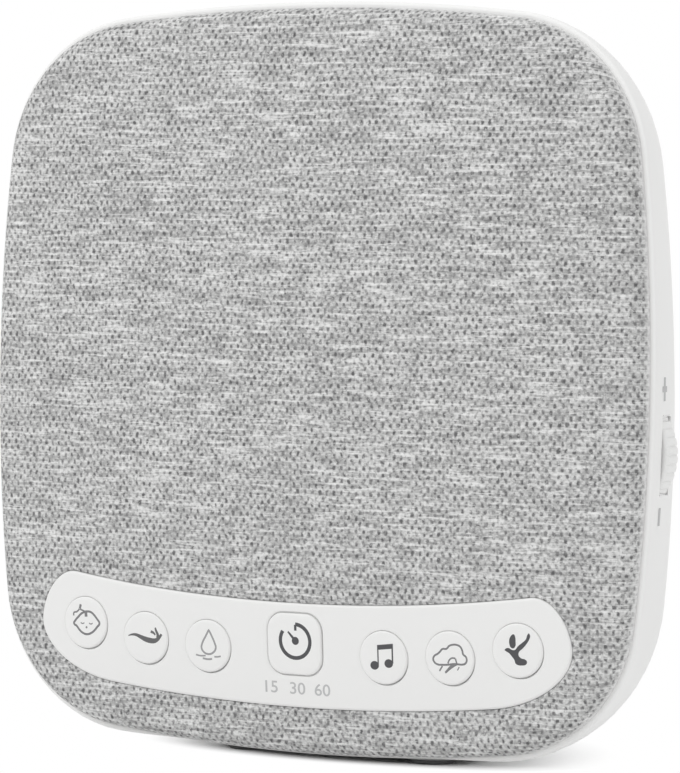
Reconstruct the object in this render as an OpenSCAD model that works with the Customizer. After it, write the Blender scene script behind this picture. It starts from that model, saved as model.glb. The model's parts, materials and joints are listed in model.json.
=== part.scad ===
/* [Face] */
// Width and height of the cloth face through its middle
face_w = 130; // [129:0.5:134]
// Radius of the face's four corners
corner_r = 26.5; // [25:0.5:28]
// Radius of the slight bow of each side
side_r = 355; // [330:5:400]
// Rise of the face's crown
crown_h = 3.9; // [3.6:0.1:4.2]
// Radius of the face's rolled edge
edge_r = 3.3; // [3.1:0.1:3.5]

/* [Housing] */
// Depth of the rounded shell behind the face at mid height
shell_depth = 36; // [36:0.5:38]
// How much deeper the shell is at its bottom edge than at mid height
wedge = 7; // [6.5:0.1:7.5]
// How far the shell's wall draws in on its way to the back
draw_in = 41; // [40:0.2:42]
// Wall thickness of the shell
wall_t = 2.4; // [2.2:0.1:2.6]

/* [Control strip] */
// Middle of the strip above the face's bottom edge
strip_rise = 17.6; // [17.2:0.1:18]
// Height of the strip
strip_h = 18; // [17.6:0.1:18.6]
// Diameter of the six round keys
key_d = 9.5; // [9:0.1:9.8]
// From the middle of the outermost keys to the face's side
row_margin = 21.5; // [21:0.1:22]
// Side of the square timer key
timer_w = 10.9; // [10.6:0.1:11.2]
// How far a key goes in
key_travel = 0.6; // [0.4:0.05:0.7]

/* [Volume wheel] */
// Diameter of the thumb wheel
wheel_d = 22; // [21:0.5:23]
// Middle of the wheel above the face's bottom edge
wheel_rise = 54.2; // [53:0.1:55]
// How far the wheel stands out of the side wall
wheel_out = 1.3; // [1:0.1:1.6]

/* [Speaker] */
// Diameter of the speaker's frame
speaker_d = 58; // [56:0.5:60]
// Diameter of the speaker's magnet
magnet_d = 40; // [36:0.5:41]
// Middle of the speaker above the face's bottom edge
speaker_rise = 77; // [76:0.5:78]

/* [Hidden] */
$fn = 48;

// Depths below are measured back from the seam between the cloth and the housing,
// and heights from the centre of the face.
half = face_w/2;
lip = 1;
side_steps = 6;
corner_steps = 10;
// The side arcs are centred this far beyond the face's centre.
bow_c = side_r - half;
// The corner arcs' centres lie this far from the face's centre, across and up.
corner_c = (sqrt(2*pow(side_r - corner_r, 2) - bow_c*bow_c) - bow_c)/2;
// Half the angle that one side arc spans
bow_half = atan(corner_c/(corner_c + bow_c));

// Crown of the face, and where its rolled edge meets it
crown_tilt = atan(2*crown_h/half);
edge_in = edge_r*(1 - sin(crown_tilt));
edge_rho = 1 - edge_in/half;
edge_base = edge_r + crown_h*(1 - edge_rho*edge_rho) - edge_r*cos(crown_tilt);
face_h = edge_r + crown_h;

// Back of the shell
back_angle = 80;
back_size = 1 - draw_in/(half + lip)*(1 - cos(back_angle));
back_tilt = atan(sin(back_angle)*wedge/half);
function back_depth(z) = sin(back_angle)*(shell_depth - wedge*z/half);

// The housing's place: it stands at height 0, with its depth centred on the origin.
ground_gap = 0.5;
face_z = half + lip + ground_gap;
seam_y = (face_h - back_depth(-(half + lip)*back_size))/2;

// Clearances and sheets
fit = 0.1;
key_gap = 0.15;
cloth_t = 0.8;
panel_in = cloth_t + 0.05;
panel_t = 2;
skirt_out = wall_t - lip + 0.9;
skirt_t = 1.8;
skirt_depth = 4;

// Keys, numbered from -3 at the left to 3 at the right, 0 being the timer key.
// The first step, past the timer key, is wider than the pitch of the round keys.
first_step = 1.3721;
last_key = half - row_margin;
key_pitch = last_key/(first_step + 2);
first_key = first_step*key_pitch;

// Control strip: a band along an arc that curls up at both ends
strip_r = 330;
strip_drop = half - strip_rise;
end_room = 1.8;
strip_end = last_key + end_room;
strip_angle = asin(strip_end/strip_r);
// The bottom edge hangs lower, the tips are blunt, and each edge starts to round off near its end.
strip_low = 0.3;
strip_blunt = 1.1;
top_curve = 1.5;
low_curve = 8.3;
strip_proud = 0.3;
pocket_depth = -2.4;
pad_back = -0.4;
function strip_z(x) = strip_r - strip_drop - sqrt(strip_r*strip_r - x*x);

// Caps and flanges of the keys
key_proud = 0.35;
flange_out = 1.05;
flange_t = 1;
flange_gap = 0.05;
function key_x(n) = n == 0 ? 0 : sign(n)*(first_key + (abs(n) - 1)*key_pitch);
timer_up = 1.8;
function key_z(n) = n == 0 ? strip_z(0) + timer_up : strip_z(key_x(n));
timer_r = 3.2;

// Key board behind the strip, with its switches
flange_back = pad_back + flange_gap + flange_t;
plunger_front = flange_back + key_travel + 0.05;
switch_front = plunger_front + 1;
key_board_front = switch_front + 2.6;
board_t = 1.6;
key_board_back = key_board_front + board_t;
key_board_h = strip_h - 1.6;
board_screw_in_gap = 3.6;
board_screw_out_gap = 6.6;
board_screw_in = timer_w/2 + board_screw_in_gap;
board_screw_out = strip_end + board_screw_out_gap;
board_screw_x = [-board_screw_out, -board_screw_in, board_screw_in, board_screw_out];
function board_screw_z(x) = strip_z(x) + (abs(x) > strip_end ? 0.8 : 0.1);
led_step = 5.1;
led_x = [-led_step, 0, led_step];
led_drop = 6;
led_z = -strip_drop - led_drop;

// Volume wheel in the right-hand wall
wheel_z = wheel_rise - half;
wheel_front = 3.4;
wheel_t = 4.3;
slot_gap = 0.3;
slot_h = 13.7;
shaft_r = 2.5;
running = 0.05;
wheel_x = half + lip - 0.5 + wheel_out - wheel_d/2;
hub_back = wheel_front + wheel_t + 0.9;
pot_front = hub_back + 1.9;
pot_in = 6;
pot_out = 0.6;

// Speaker, with its axis along the depth
speaker_z = speaker_rise - half;
speaker_r = speaker_d/2;
rim_w = 4.5;
ear_out = 2.5;
cone_r = speaker_r - rim_w;
ear_r = speaker_r + ear_out;
ear_end_r = 3.4;
mount_depth = -1;
gasket_t = 0.8;
frame_front = mount_depth + gasket_t;
frame_t = 1.2;
frame_back = frame_front + frame_t;
basket_h = 12;
basket_back = frame_back + basket_h;
neck_r = 15;
sheet_t = 1;
plate_t = 3;
plate_back = basket_back + sheet_t + plate_t;
// Room left behind the magnet system for the leaning back of the shell
yoke_room = 8;
yoke_back = shell_depth - yoke_room;
magnet_back = yoke_back - plate_t;
magnet_r = magnet_d/2;
pole_r = 6.3;
coil_r = 6.9;

// Main board below the speaker's magnet
main_front = 17;
main_back = main_front + board_t;
main_left_room = 27;
main_right_room = 21;
main_low_room = 17;
main_h = 35;
main_left = main_left_room - half;
main_right = half - main_right_room;
main_bottom = main_low_room - half;
main_top = main_bottom + main_h;
post_in = 3.5;
top_post_in = 9;
main_posts = [
    [main_left + post_in, main_top - post_in],
    [main_left + post_in, main_bottom + post_in],
    [main_right - post_in, main_bottom + post_in],
    [main_right - post_in, main_top - top_post_in]
];

// Power inlet in the back
jack_x = -18;
jack_drop = 7;
jack_z = main_top - jack_drop;
recess_r = 5.5;
recess_depth = 4.6;
recess_floor = back_depth(jack_z) - recess_depth;
jack_floor = 1.5;
jack_front = recess_floor - jack_floor;
jack_half = 4.6;
nose_r = 3.9;
nose_hole_r = 4;

// Screws that hold the housing to the front panel
post_gap = 0.1;
post_back = 7.5;
seat_front = post_back + post_gap;
seat_t = 2;
post_r = 4.7;
post_side = 22;
low_post_side = 15;
low_post_rise = 35;
post_x = half - post_side;
low_post_x = half - low_post_side;
low_post_z = low_post_rise - half;
housing_posts = [
    [-post_x, post_x],
    [post_x, post_x],
    [-low_post_x, low_post_z],
    [low_post_x, low_post_z]
];
thread_r = 1.25;
through_r = 1.6;
well_r = 3.2;
panel_post_r = 3.8;

// Foot that the curved underside stands on
foot_half = 26;
foot_front = 6;
foot_back = 30;
foot_r = 9;
foot_floor = ground_gap + 0.4 - face_z;
pad_r = 4;
pad_t = 2;
pad_in = 5.2;
pad_side = 7.5;
pad_x = foot_half - pad_side;
pad_depths = [foot_front + pad_in, foot_back - pad_in];

// Places its children in the row's frame, from the face's own.
module in_place() {
    translate([0, seam_y, face_z]) children();
}

// ---- Outlines and lofts ----

// A point turned clockwise about the face's centre by q quarter turns
function quarter(p, q) = q == 0 ? p : quarter([p[1], -p[0]], q - 1);

// The face's outline grown by a distance: bowed sides joined by corner arcs
function outline(grow) = [
    for (q = [0:3])
        each [
            for (i = [0:side_steps - 1])
                let (a = bow_half*(2*i/side_steps - 1))
                quarter([(side_r + grow)*sin(a), (side_r + grow)*cos(a) - bow_c], q),
            for (i = [0:corner_steps - 1])
                let (a = bow_half + (90 - 2*bow_half)*i/corner_steps)
                quarter([corner_c + (corner_r + grow)*sin(a), corner_c + (corner_r + grow)*cos(a)], q)
        ]
];

// One level of a loft: the outline at a depth
function ring(grow, size, depth) = [for (p = outline(grow)) [p[0]*size, depth, p[1]*size]];

// One level of the shell: the outline on a plane that leans with the wedge
function shell_ring(grow, angle, back) = [
    for (p = outline(grow))
        let (size = 1 - draw_in/(half + lip)*(1 - cos(angle)))
        [p[0]*size, sin(angle)*(shell_depth - back - wedge*p[1]*size/half), p[1]*size]
];

// The face's surface sunk by a distance, from its crown to the seam and on to a tail depth.
// A piece that lies near the edge can leave out the first levels of the crown.
crown_sizes = [0.1, 0.3, 0.5, 0.68, 0.83, 0.94];
function face_rings(sink, tail, first = 0) = concat(
    [
        for (i = [first:len(crown_sizes) - 1])
            let (u = crown_sizes[i])
            ring(-edge_in, u, sink - edge_r - crown_h*(1 - pow(edge_rho*u, 2)))
    ],
    [
        for (i = [5:-1:0])
            let (a = i/5*(90 - crown_tilt), r = edge_r - sink)
            ring(r*cos(a) - edge_r, 1, -edge_base - r*sin(a))
    ],
    [ring(-sink, 1, tail)]
);

// Skin over a list of rings, given from the front to the back
module loft(rings) {
    n = len(rings[0]);
    last = len(rings) - 1;
    polyhedron(
        points = [for (r = rings) each r],
        faces = concat(
            [[for (i = [0:n - 1]) i]],
            [[for (i = [n - 1:-1:0]) last*n + i]],
            [
                for (k = [0:last - 1], i = [0:n - 1])
                    let (a = k*n + i, b = k*n + (i + 1)%n)
                    each [[a, a + n, b], [b, a + n, b + n]]
            ]
        )
    );
}

// Extrudes a shape drawn in the face's plane between two depths.
module along(front, back) {
    translate([0, back, 0]) rotate([90, 0, 0]) linear_extrude(back - front) children();
}

// Round bar or hole along the depth
module rod(x, z, front, back, r) {
    translate([x, back, z]) rotate([90, 0, 0]) cylinder(r = r, h = back - front);
}

// Turns a profile of [radius, depth] points about an axis along the depth.
module turned(x, z, profile) {
    translate([x, 0, z]) rotate([-90, 0, 0]) rotate_extrude($fn = 96) polygon(profile);
}

// Block between two corners
module block(low, high) {
    translate(low) cube(high - low);
}

// Square with rounded corners, centred
module rounded_square(w, h, r) {
    square([w, h - 2*r], center = true);
    square([w - 2*r, h], center = true);
    for (x = [-1, 1], y = [-1, 1])
        translate([x*(w/2 - r), y*(h/2 - r)]) circle(r);
}

// Point on the strip, by its way along the middle arc from an end, and across it
function strip_point(along, across) =
    let (a = strip_angle + along/strip_r*180/PI, r = strip_r - across)
    [r*sin(a), strip_r - strip_drop - r*cos(a)];

// The strip's outline grown by a distance. Its ends round off sooner at the bottom than at the top.
module strip_shape(grow, h = strip_h) {
    up = h/2 + grow;
    low = up + strip_low;
    tip = up - strip_blunt;
    run = strip_r*strip_angle*PI/180;
    right = concat(
        [for (k = [1:15]) strip_point(-run + (run + top_curve)*k/15, up)],
        [for (a = [7.5:7.5:90]) strip_point(top_curve + (tip - top_curve)*sin(a), up*cos(a))],
        [for (a = [84:-6:0]) strip_point((tip + low_curve)*sin(a) - low_curve, -low*cos(a))],
        [for (k = [14:-1:1]) strip_point(-run + (run - low_curve)*k/15, -low)]
    );
    last = len(right) - 1;
    polygon(concat(
        [strip_point(-run, up)], right, [strip_point(-run, -low)],
        [for (k = [last:-1:0]) [-right[k][0], right[k][1]]]
    ));
}

// A key's outline grown by a distance: round, or the timer key's rounded square
module key_shape(n, grow) {
    translate([key_x(n), key_z(n)]) {
        if (n == 0) rounded_square(timer_w + 2*grow, timer_w + 2*grow, timer_r + grow);
        else circle(key_d/2 + grow);
    }
}

// Self-tapping screw along the depth: the head's seat is at one depth, the tip at another.
module screw(x, z, tip, seat, r, head_r, head_h) {
    difference() {
        union() {
            rod(x, z, tip, seat, r);
            rod(x, z, seat, seat + head_h, head_r);
        }
        for (turn = [0, 90])
            translate([x, seat + head_h, z]) rotate([0, turn, 0])
                cube([head_r*1.1, head_h, head_r*0.28], center = true);
    }
}

// ---- Housing ----

// Rounded bead beside the cloth: how far out of the face's outline, and how deep
bead = [[0.12, 0], [0.3, -0.32], [0.6, -0.42], [0.88, -0.24], [lip, 0.15]];

// Solid inside the shell's outer surface
module shell_outer() {
    loft(concat(
        [for (p = bead) ring(p[0], 1, p[1])],
        [for (a = [5, 12, 20, 28, 36, 44, 53, 62, 71, back_angle]) shell_ring(lip, a, 0)]
    ));
}

module shell_inner() {
    loft(concat(
        [ring(lip - wall_t, 1, -2)],
        [for (a = [0, 12, 24, 36, 48, 60, 70, back_angle]) shell_ring(lip - wall_t, a, wall_t)]
    ));
}

// Solid that ends halfway through the shell's wall, to trim what stands on the wall's inside
module shell_middle() {
    loft([for (a = [0, 16, 32, 48, 64, back_angle]) shell_ring(lip - wall_t/2, a, wall_t/2)]);
}

// Foot block under the curved bottom, seen from below
module foot_shape(inset) {
    depth = foot_back - foot_front - 2*inset;
    translate([0, (foot_front + foot_back)/2])
        rounded_square(2*(foot_half - inset), depth, foot_r - inset);
}

module rear_housing() {
    color([0.9, 0.9, 0.89]) in_place() difference() {
        union() {
            difference() {
                union() {
                    shell_outer();
                    translate([0, 0, foot_floor]) linear_extrude(half*0.25) foot_shape(0);
                }
                shell_inner();
                translate([0, 0, foot_floor + wall_t]) linear_extrude(half*0.3) foot_shape(wall_t);
            }
            intersection() {
                shell_middle();
                union() {
                    for (p = housing_posts)
                        rod(p[0], p[1], seat_front, shell_depth + wedge, post_r);
                    for (p = main_posts)
                        rod(p[0], p[1], main_back, shell_depth + wedge, 3);
                    rod(jack_x, jack_z, jack_front, shell_depth + wedge, recess_r + 1.9);
                }
            }
        }
        for (p = housing_posts) {
            rod(p[0], p[1], seat_front - 1, seat_front + seat_t + 1, through_r);
            rod(p[0], p[1], seat_front + seat_t, shell_depth + wedge, well_r);
        }
        for (p = main_posts)
            rod(p[0], p[1], main_back - 1, main_back + 7, 0.9);
        rod(jack_x, jack_z, recess_floor, shell_depth + wedge, recess_r);
        rod(jack_x, jack_z, jack_front - 1, recess_floor + 1, nose_hole_r);
        wheel_slot();
        for (x = [-pad_x, pad_x], y = pad_depths)
            translate([x, y, foot_floor - 1]) cylinder(r = pad_r + fit, h = 1 + pad_t - 0.9);
        label_plate(0.3, -label_deep, label_deep);
    }
}

// Slot in the side wall that follows the wheel, blunt at its ends
module wheel_slot() {
    front = wheel_front - slot_gap;
    back = wheel_front + wheel_t + slot_gap;
    rod(wheel_x, wheel_z, front, back, wheel_d/2 + slot_gap + 0.15);
    block([half - 4, front, wheel_z - slot_h/2], [half + 4, back, wheel_z + slot_h/2]);
}

// Middle of the back's outer face, leaning with it
label_w = 36;
label_h = 18;
label_r = 1.8;
label_deep = 0.3;
label_z = 13;
module label_place() {
    translate([0, back_depth(label_z), label_z]) rotate([back_tilt, 0, 0]) children();
}

// Plate with round corners, between two depths below the back's face
module label_plate(grow, high, low) {
    label_place() rotate([90, 0, 0]) translate([0, 0, high]) linear_extrude(low - high)
        rounded_square(label_w + 2*grow, label_h + 2*grow, label_r + grow);
}

module rating_label() {
    color([0.78, 0.78, 0.77]) in_place() label_plate(0, 0.1, label_deep);
}

module rubber_feet() {
    color([0.25, 0.25, 0.26]) in_place()
        for (x = [-pad_x, pad_x], y = pad_depths)
            translate([x, y, -face_z]) {
                cylinder(r1 = pad_r - 0.3, r2 = pad_r, h = 0.3);
                translate([0, 0, 0.3]) cylinder(r = pad_r, h = pad_t - 0.3);
            }
}

module housing_screws() {
    color([0.72, 0.73, 0.74]) in_place()
        for (p = housing_posts)
            screw(p[0], p[1], 1.5, seat_front + seat_t, thread_r, 2.8, 1.9);
}

// ---- Front panel, cloth and strip ----

// Openings of the speaker guard: three rings of windows between ribs
module guard_windows() {
    translate([0, speaker_z]) difference() {
        circle(cone_r, $fn = 96);
        for (r = [7.5, 16])
            difference() {
                circle(r + 1.6);
                circle(r);
            }
        for (a = [0:60:120])
            rotate(a) square([2*speaker_r, 1.8], center = true);
    }
}

// Solid pads and posts left standing inside the front panel
module panel_pads() {
    along(-face_h, pad_back) strip_shape(2.2);
    along(-face_h, mount_depth) translate([0, speaker_z]) difference() {
        circle(speaker_r + 1, $fn = 96);
        circle(cone_r + 1.2, $fn = 96);
    }
    for (a = [45:90:315])
        rod(ear_r*cos(a), speaker_z + ear_r*sin(a), -face_h, frame_front, ear_end_r);
    for (p = housing_posts) rod(p[0], p[1], -face_h, 0, panel_post_r);
}

module front_panel() {
    color([0.2, 0.2, 0.21]) in_place() difference() {
        union() {
            difference() {
                loft(face_rings(panel_in, 0));
                difference() {
                    loft(face_rings(panel_in + panel_t, 2));
                    panel_pads();
                }
            }
            along(-1, skirt_depth) difference() {
                polygon(outline(-skirt_out));
                polygon(outline(-skirt_out - skirt_t));
            }
            for (p = housing_posts) rod(p[0], p[1], -1, post_back, panel_post_r);
            for (x = board_screw_x) rod(x, board_screw_z(x), pad_back - 1, key_board_front, 2.1);
        }
        along(-face_h - 1, pocket_depth) strip_shape(fit);
        along(-face_h - 1, 0) guard_windows();
        for (n = [-3:3]) along(-face_h, pad_back + 1) key_shape(n, 0.4);
        for (x = led_x) rod(x, led_z, -face_h, pad_back + 1, 1.15);
        for (a = [45:90:315])
            rod(ear_r*cos(a), speaker_z + ear_r*sin(a), -3.4, frame_front + 1, 1.1);
        for (p = housing_posts) rod(p[0], p[1], 0.8, seat_front, thread_r);
        for (x = board_screw_x) rod(x, board_screw_z(x), 0.4, key_board_front + 1, 0.8);
        block(
            [wheel_x, wheel_front - 0.7, wheel_z - wheel_d/2 - 1.5],
            [half, skirt_depth + 1, wheel_z + wheel_d/2 + 1.5]
        );
    }
}

module cloth_cover() {
    color([0.74, 0.74, 0.73]) in_place() difference() {
        loft(face_rings(0, 0));
        loft(face_rings(cloth_t, 1));
        along(-face_h - 1, 1) strip_shape(fit);
    }
}

module control_strip() {
    color([0.92, 0.92, 0.91]) in_place() difference() {
        intersection() {
            loft(face_rings(-strip_proud, 0, 2));
            along(-face_h - 1, pocket_depth) strip_shape(0);
        }
        for (n = [-3:3]) along(-face_h - 1, pocket_depth + 1) key_shape(n, key_gap);
    }
}

// ---- Keys ----

// Cap with a flange that holds it behind the panel
module key(n) {
    color([0.95, 0.95, 0.94]) in_place() {
        intersection() {
            loft(face_rings(-strip_proud - key_proud, 0, 2));
            along(-face_h - 1, pad_back + flange_gap) key_shape(n, 0);
        }
        along(pad_back + flange_gap, flange_back) key_shape(n, flange_out);
    }
}

module key_board() {
    color([0.1, 0.32, 0.2]) in_place() along(key_board_front, key_board_back) difference() {
        strip_shape(0, key_board_h);
        for (x = board_screw_x) translate([x, board_screw_z(x)]) circle(0.95);
    }
}

module key_board_screws() {
    color([0.72, 0.73, 0.74]) in_place()
        for (x = board_screw_x)
            screw(x, board_screw_z(x), 1, key_board_back, 0.8, 1.7, 1.2);
}

module tact_switches() {
    color([0.15, 0.15, 0.16]) in_place()
        for (n = [-3:3]) {
            x = key_x(n);
            z = key_z(n);
            block([x - 3, switch_front, z - 3], [x + 3, key_board_front, z + 3]);
            rod(x, z, plunger_front, switch_front, 1.7);
        }
}

module timer_leds() {
    color([0.9, 0.75, 0.4]) in_place()
        for (x = led_x)
            block([x - 0.8, key_board_front - 0.8, led_z - 0.5], [x + 0.8, key_board_front, led_z + 0.5]);
}

module light_guide() {
    color([0.85, 0.9, 0.95, 0.5]) in_place() {
        for (x = led_x) rod(x, led_z, pocket_depth, key_board_front - 0.9, 1);
        block(
            [led_x[0], plunger_front + 0.3, led_z - 0.7],
            [led_x[2], plunger_front + 1.3, led_z + 0.7]
        );
    }
}

// ---- Volume wheel ----

module volume_wheel() {
    groove_r = 0.5;
    grooves = 44;
    color([0.93, 0.93, 0.92]) in_place() difference() {
        turned(wheel_x, wheel_z, [
            [0, wheel_front],
            [wheel_d/2 - 0.5, wheel_front],
            [wheel_d/2, wheel_front + 0.5],
            [wheel_d/2, wheel_front + wheel_t - 0.5],
            [wheel_d/2 - 0.5, wheel_front + wheel_t],
            [shaft_r + 2, wheel_front + wheel_t],
            [shaft_r + 2, hub_back],
            [0, hub_back]
        ]);
        rod(wheel_x, wheel_z, wheel_front + 1.5, hub_back + 1, shaft_r);
        for (i = [0:grooves - 1]) {
            a = 360*i/grooves;
            rod(
                wheel_x + (wheel_d/2 + 0.1)*cos(a), wheel_z + (wheel_d/2 + 0.1)*sin(a),
                wheel_front - 1, wheel_front + wheel_t + 1, groove_r
            );
        }
    }
}

module volume_shaft() {
    color([0.8, 0.8, 0.78]) in_place()
        rod(wheel_x, wheel_z, wheel_front + 1.5, pot_front + 3, shaft_r);
}

module volume_pot() {
    h = 10;
    body_back = pot_front + 4;
    color([0.3, 0.32, 0.35]) in_place() difference() {
        union() {
            block(
                [wheel_x - pot_in, pot_front, wheel_z - h/2],
                [wheel_x + 3.8, body_back, wheel_z + h/2]
            );
            block(
                [wheel_x - pot_in, body_back - 1, wheel_z - h/2 + 1],
                [wheel_x + pot_out, main_front, wheel_z + h/2 - 1]
            );
            rod(wheel_x, wheel_z, hub_back + 0.4, pot_front + 1, 3.8);
        }
        rod(wheel_x, wheel_z, hub_back, pot_front + 3.2, shaft_r + running);
    }
}

// ---- Speaker ----

module speaker_basket() {
    color([0.25, 0.25, 0.26]) in_place() difference() {
        union() {
            along(frame_front, frame_back) translate([0, speaker_z]) {
                circle(speaker_r, $fn = 96);
                for (a = [45:90:315]) rotate(a) translate([ear_r, 0]) circle(ear_end_r);
                for (a = [45, 135]) rotate(a) square([2*ear_r, 2*ear_end_r], center = true);
            }
            turned(0, speaker_z, [
                [0, frame_back - frame_t/2],
                [cone_r + 1.5*sheet_t, frame_back - frame_t/2],
                [neck_r + sheet_t, basket_back],
                [neck_r + sheet_t, basket_back + sheet_t],
                [0, basket_back + sheet_t]
            ]);
        }
        turned(0, speaker_z, [
            [0, frame_front - 1],
            [cone_r, frame_front - 1],
            [cone_r, frame_back],
            [neck_r, basket_back - sheet_t],
            [neck_r, basket_back],
            [0, basket_back]
        ]);
        rod(0, speaker_z, basket_back - 1, basket_back + 2, 8);
        for (a = [45:90:315])
            rod(ear_r*cos(a), speaker_z + ear_r*sin(a), frame_front - 1, frame_back + 1, 1.7);
        along(frame_back + 1.5, basket_back - 2.5) translate([0, speaker_z])
            for (a = [0:90:270]) rotate(a)
                intersection() {
                    difference() {
                        circle(speaker_r);
                        circle(neck_r + 0.5);
                    }
                    translate([0, -8]) square([speaker_r, 16]);
                }
    }
}

module speaker_gasket() {
    color([0.12, 0.12, 0.12]) in_place()
        along(mount_depth, frame_front) translate([0, speaker_z]) difference() {
            circle(ear_r - 3.5, $fn = 96);
            circle(cone_r + 1.6, $fn = 96);
        }
}

// Half-roll between the frame and the cone
roll_r = 2;
roll_x = cone_r - 1.5;
surround_t = 0.5;
module roll_profile(r) {
    translate([roll_x, frame_front]) difference() {
        circle(r);
        translate([-2*r, 0]) square([4*r, 2*r]);
    }
}

module speaker_surround() {
    color([0.16, 0.16, 0.17]) in_place() translate([0, 0, speaker_z]) rotate([-90, 0, 0])
        rotate_extrude($fn = 96) {
            difference() {
                roll_profile(roll_r);
                roll_profile(roll_r - surround_t);
            }
            translate([roll_x + roll_r - 0.3, frame_front - surround_t]) square([1.2, surround_t]);
            translate([roll_x - roll_r - 1.5, frame_front - surround_t]) square([1.8, surround_t]);
        }
}

module speaker_cone() {
    edge = roll_x - roll_r;
    color([0.2, 0.2, 0.2]) in_place() turned(0, speaker_z, [
        [edge, frame_front],
        [edge, frame_front + 0.5],
        [coil_r + 0.5, frame_front + 8],
        [coil_r + 0.5, frame_front + 7.3],
        [edge - 1.5, frame_front]
    ]);
}

module dust_cap() {
    cap = 8.5;
    rise = 3;
    cap_r = (cap*cap + rise*rise)/(2*rise);
    color([0.14, 0.14, 0.15]) in_place()
        translate([0, frame_front + 6.6, speaker_z]) rotate([90, 0, 0]) difference() {
            translate([0, 0, rise - cap_r]) sphere(cap_r, $fn = 96);
            translate([0, 0, rise - cap_r]) sphere(cap_r - 0.4, $fn = 96);
            translate([0, 0, -1.5*cap_r]) cube(3*cap_r, center = true);
        }
}

module voice_coil() {
    color([0.75, 0.42, 0.2]) in_place() turned(0, speaker_z, [
        [coil_r, frame_front + 6.3],
        [coil_r + 0.3, frame_front + 6.3],
        [coil_r + 0.3, basket_back + 0.6],
        [coil_r + 0.7, basket_back + 0.6],
        [coil_r + 0.7, plate_back + 0.4],
        [coil_r, plate_back + 0.4]
    ]);
}

// Pleated disc that centres the coil
module speaker_spider() {
    inner = coil_r + 0.3;
    pleats = 4;
    step = (neck_r - inner)/(2*pleats);
    depth = basket_back - 3;
    front_line = [for (i = [0:2*pleats]) [inner + step*i, depth + (i%2)*1.1]];
    color([0.75, 0.6, 0.3]) in_place() turned(0, speaker_z, concat(
        front_line,
        [for (i = [2*pleats:-1:0]) front_line[i] + [0, 0.4]]
    ));
}

// Flat steel ring of the magnet system
module magnet_ring(front, back, outer, bore) {
    difference() {
        rod(0, speaker_z, front, back, outer);
        rod(0, speaker_z, front - 1, back + 1, bore);
    }
}

magnet_step = 2.5;
plate_bore = 8;
magnet_bore = 9.5;
module top_plate() {
    color([0.7, 0.7, 0.72]) in_place()
        magnet_ring(basket_back + sheet_t, plate_back, magnet_r - magnet_step, plate_bore);
}

module speaker_magnet() {
    color([0.13, 0.13, 0.14]) in_place()
        magnet_ring(plate_back, magnet_back, magnet_r, magnet_bore);
}

module speaker_yoke() {
    color([0.7, 0.7, 0.72]) in_place() {
        rod(0, speaker_z, magnet_back, yoke_back, magnet_r - magnet_step);
        rod(0, speaker_z, basket_back + sheet_t, magnet_back, pole_r);
    }
}

tag_z = speaker_z - speaker_r + 1.2;
tag_x = 2.6;
tag_back = frame_back + 1.4;
module speaker_terminal() {
    color([0.6, 0.45, 0.3]) in_place() {
        block([-5, frame_back, tag_z - 1.7], [5, frame_back + 1, tag_z + 1.7]);
        for (x = [-tag_x, tag_x])
            block([x - 1, frame_back + 1, tag_z - 1.2], [x + 1, tag_back, tag_z + 1.2]);
    }
}

module speaker_screws() {
    color([0.72, 0.73, 0.74]) in_place()
        for (a = [45:90:315])
            screw(ear_r*cos(a), speaker_z + ear_r*sin(a), -3, frame_back, 1.1, 2.5, 1.6);
}

// Tube of round section along a route that runs towards the back
module lead(route) {
    sides = 8;
    r = 0.6;
    n = len(route);
    polyhedron(
        points = [
            for (p = route, i = [0:sides - 1])
                p + [r*sin(360*i/sides), 0, r*cos(360*i/sides)]
        ],
        faces = concat(
            [[for (i = [0:sides - 1]) i]],
            [[for (i = [sides - 1:-1:0]) (n - 1)*sides + i]],
            [
                for (k = [0:n - 2], i = [0:sides - 1])
                    let (a = k*sides + i, b = k*sides + (i + 1)%sides)
                    each [[a, a + sides, b], [b, a + sides, b + sides]]
            ]
        )
    );
}

plug_z = jack_z;
plug_front = main_front - 5;
module speaker_leads() {
    start = [tag_x, tag_back, tag_z];
    end = [1.3, plug_front, plug_z];
    steps = 8;
    color([0.6, 0.1, 0.1]) in_place()
        for (side = [-1, 1])
            lead([
                for (i = [0:steps])
                    let (t = i/steps, ease = (1 - cos(180*t))/2)
                    [
                        side*(start[0] + (end[0] - start[0])*ease),
                        start[1] + (end[1] - start[1])*t,
                        start[2] + (end[2] - start[2])*ease
                    ]
            ]);
}

module lead_plug() {
    color([0.93, 0.93, 0.9]) in_place()
        block([-3.6, plug_front, plug_z - 2.2], [3.6, main_front, plug_z + 2.2]);
}

// ---- Main board ----

module main_board() {
    ear = wheel_x + pot_out + 0.3;
    color([0.08, 0.3, 0.18]) in_place() along(main_front, main_back) difference() {
        union() {
            translate([main_left, main_bottom])
                square([main_right - main_left, main_top - main_bottom]);
            translate([main_right - 6, wheel_z - 8]) square([ear - main_right + 6, 14]);
        }
        for (p = main_posts) translate(p) circle(1.2);
    }
}

module board_screws() {
    color([0.72, 0.73, 0.74]) in_place() mirror([0, 1, 0])
        for (p = main_posts)
            screw(p[0], p[1], -main_back - 5, -main_front, 0.9, 2.1, 1.4);
}

module chip(x, z, w, h, t) {
    block([x - w/2, main_front - t, z - h/2], [x + w/2, main_front, z + h/2]);
}

module control_chip() {
    color([0.1, 0.1, 0.11]) in_place() chip(12, main_bottom + 16, 13, 8, 2);
}

module memory_chip() {
    color([0.12, 0.12, 0.13]) in_place() chip(-6, main_bottom + 14, 5.2, 4, 1.6);
}

module amplifier_chip() {
    color([0.12, 0.12, 0.13]) in_place() chip(main_left + 16, main_bottom + 24, 5, 6, 1.6);
}

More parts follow.
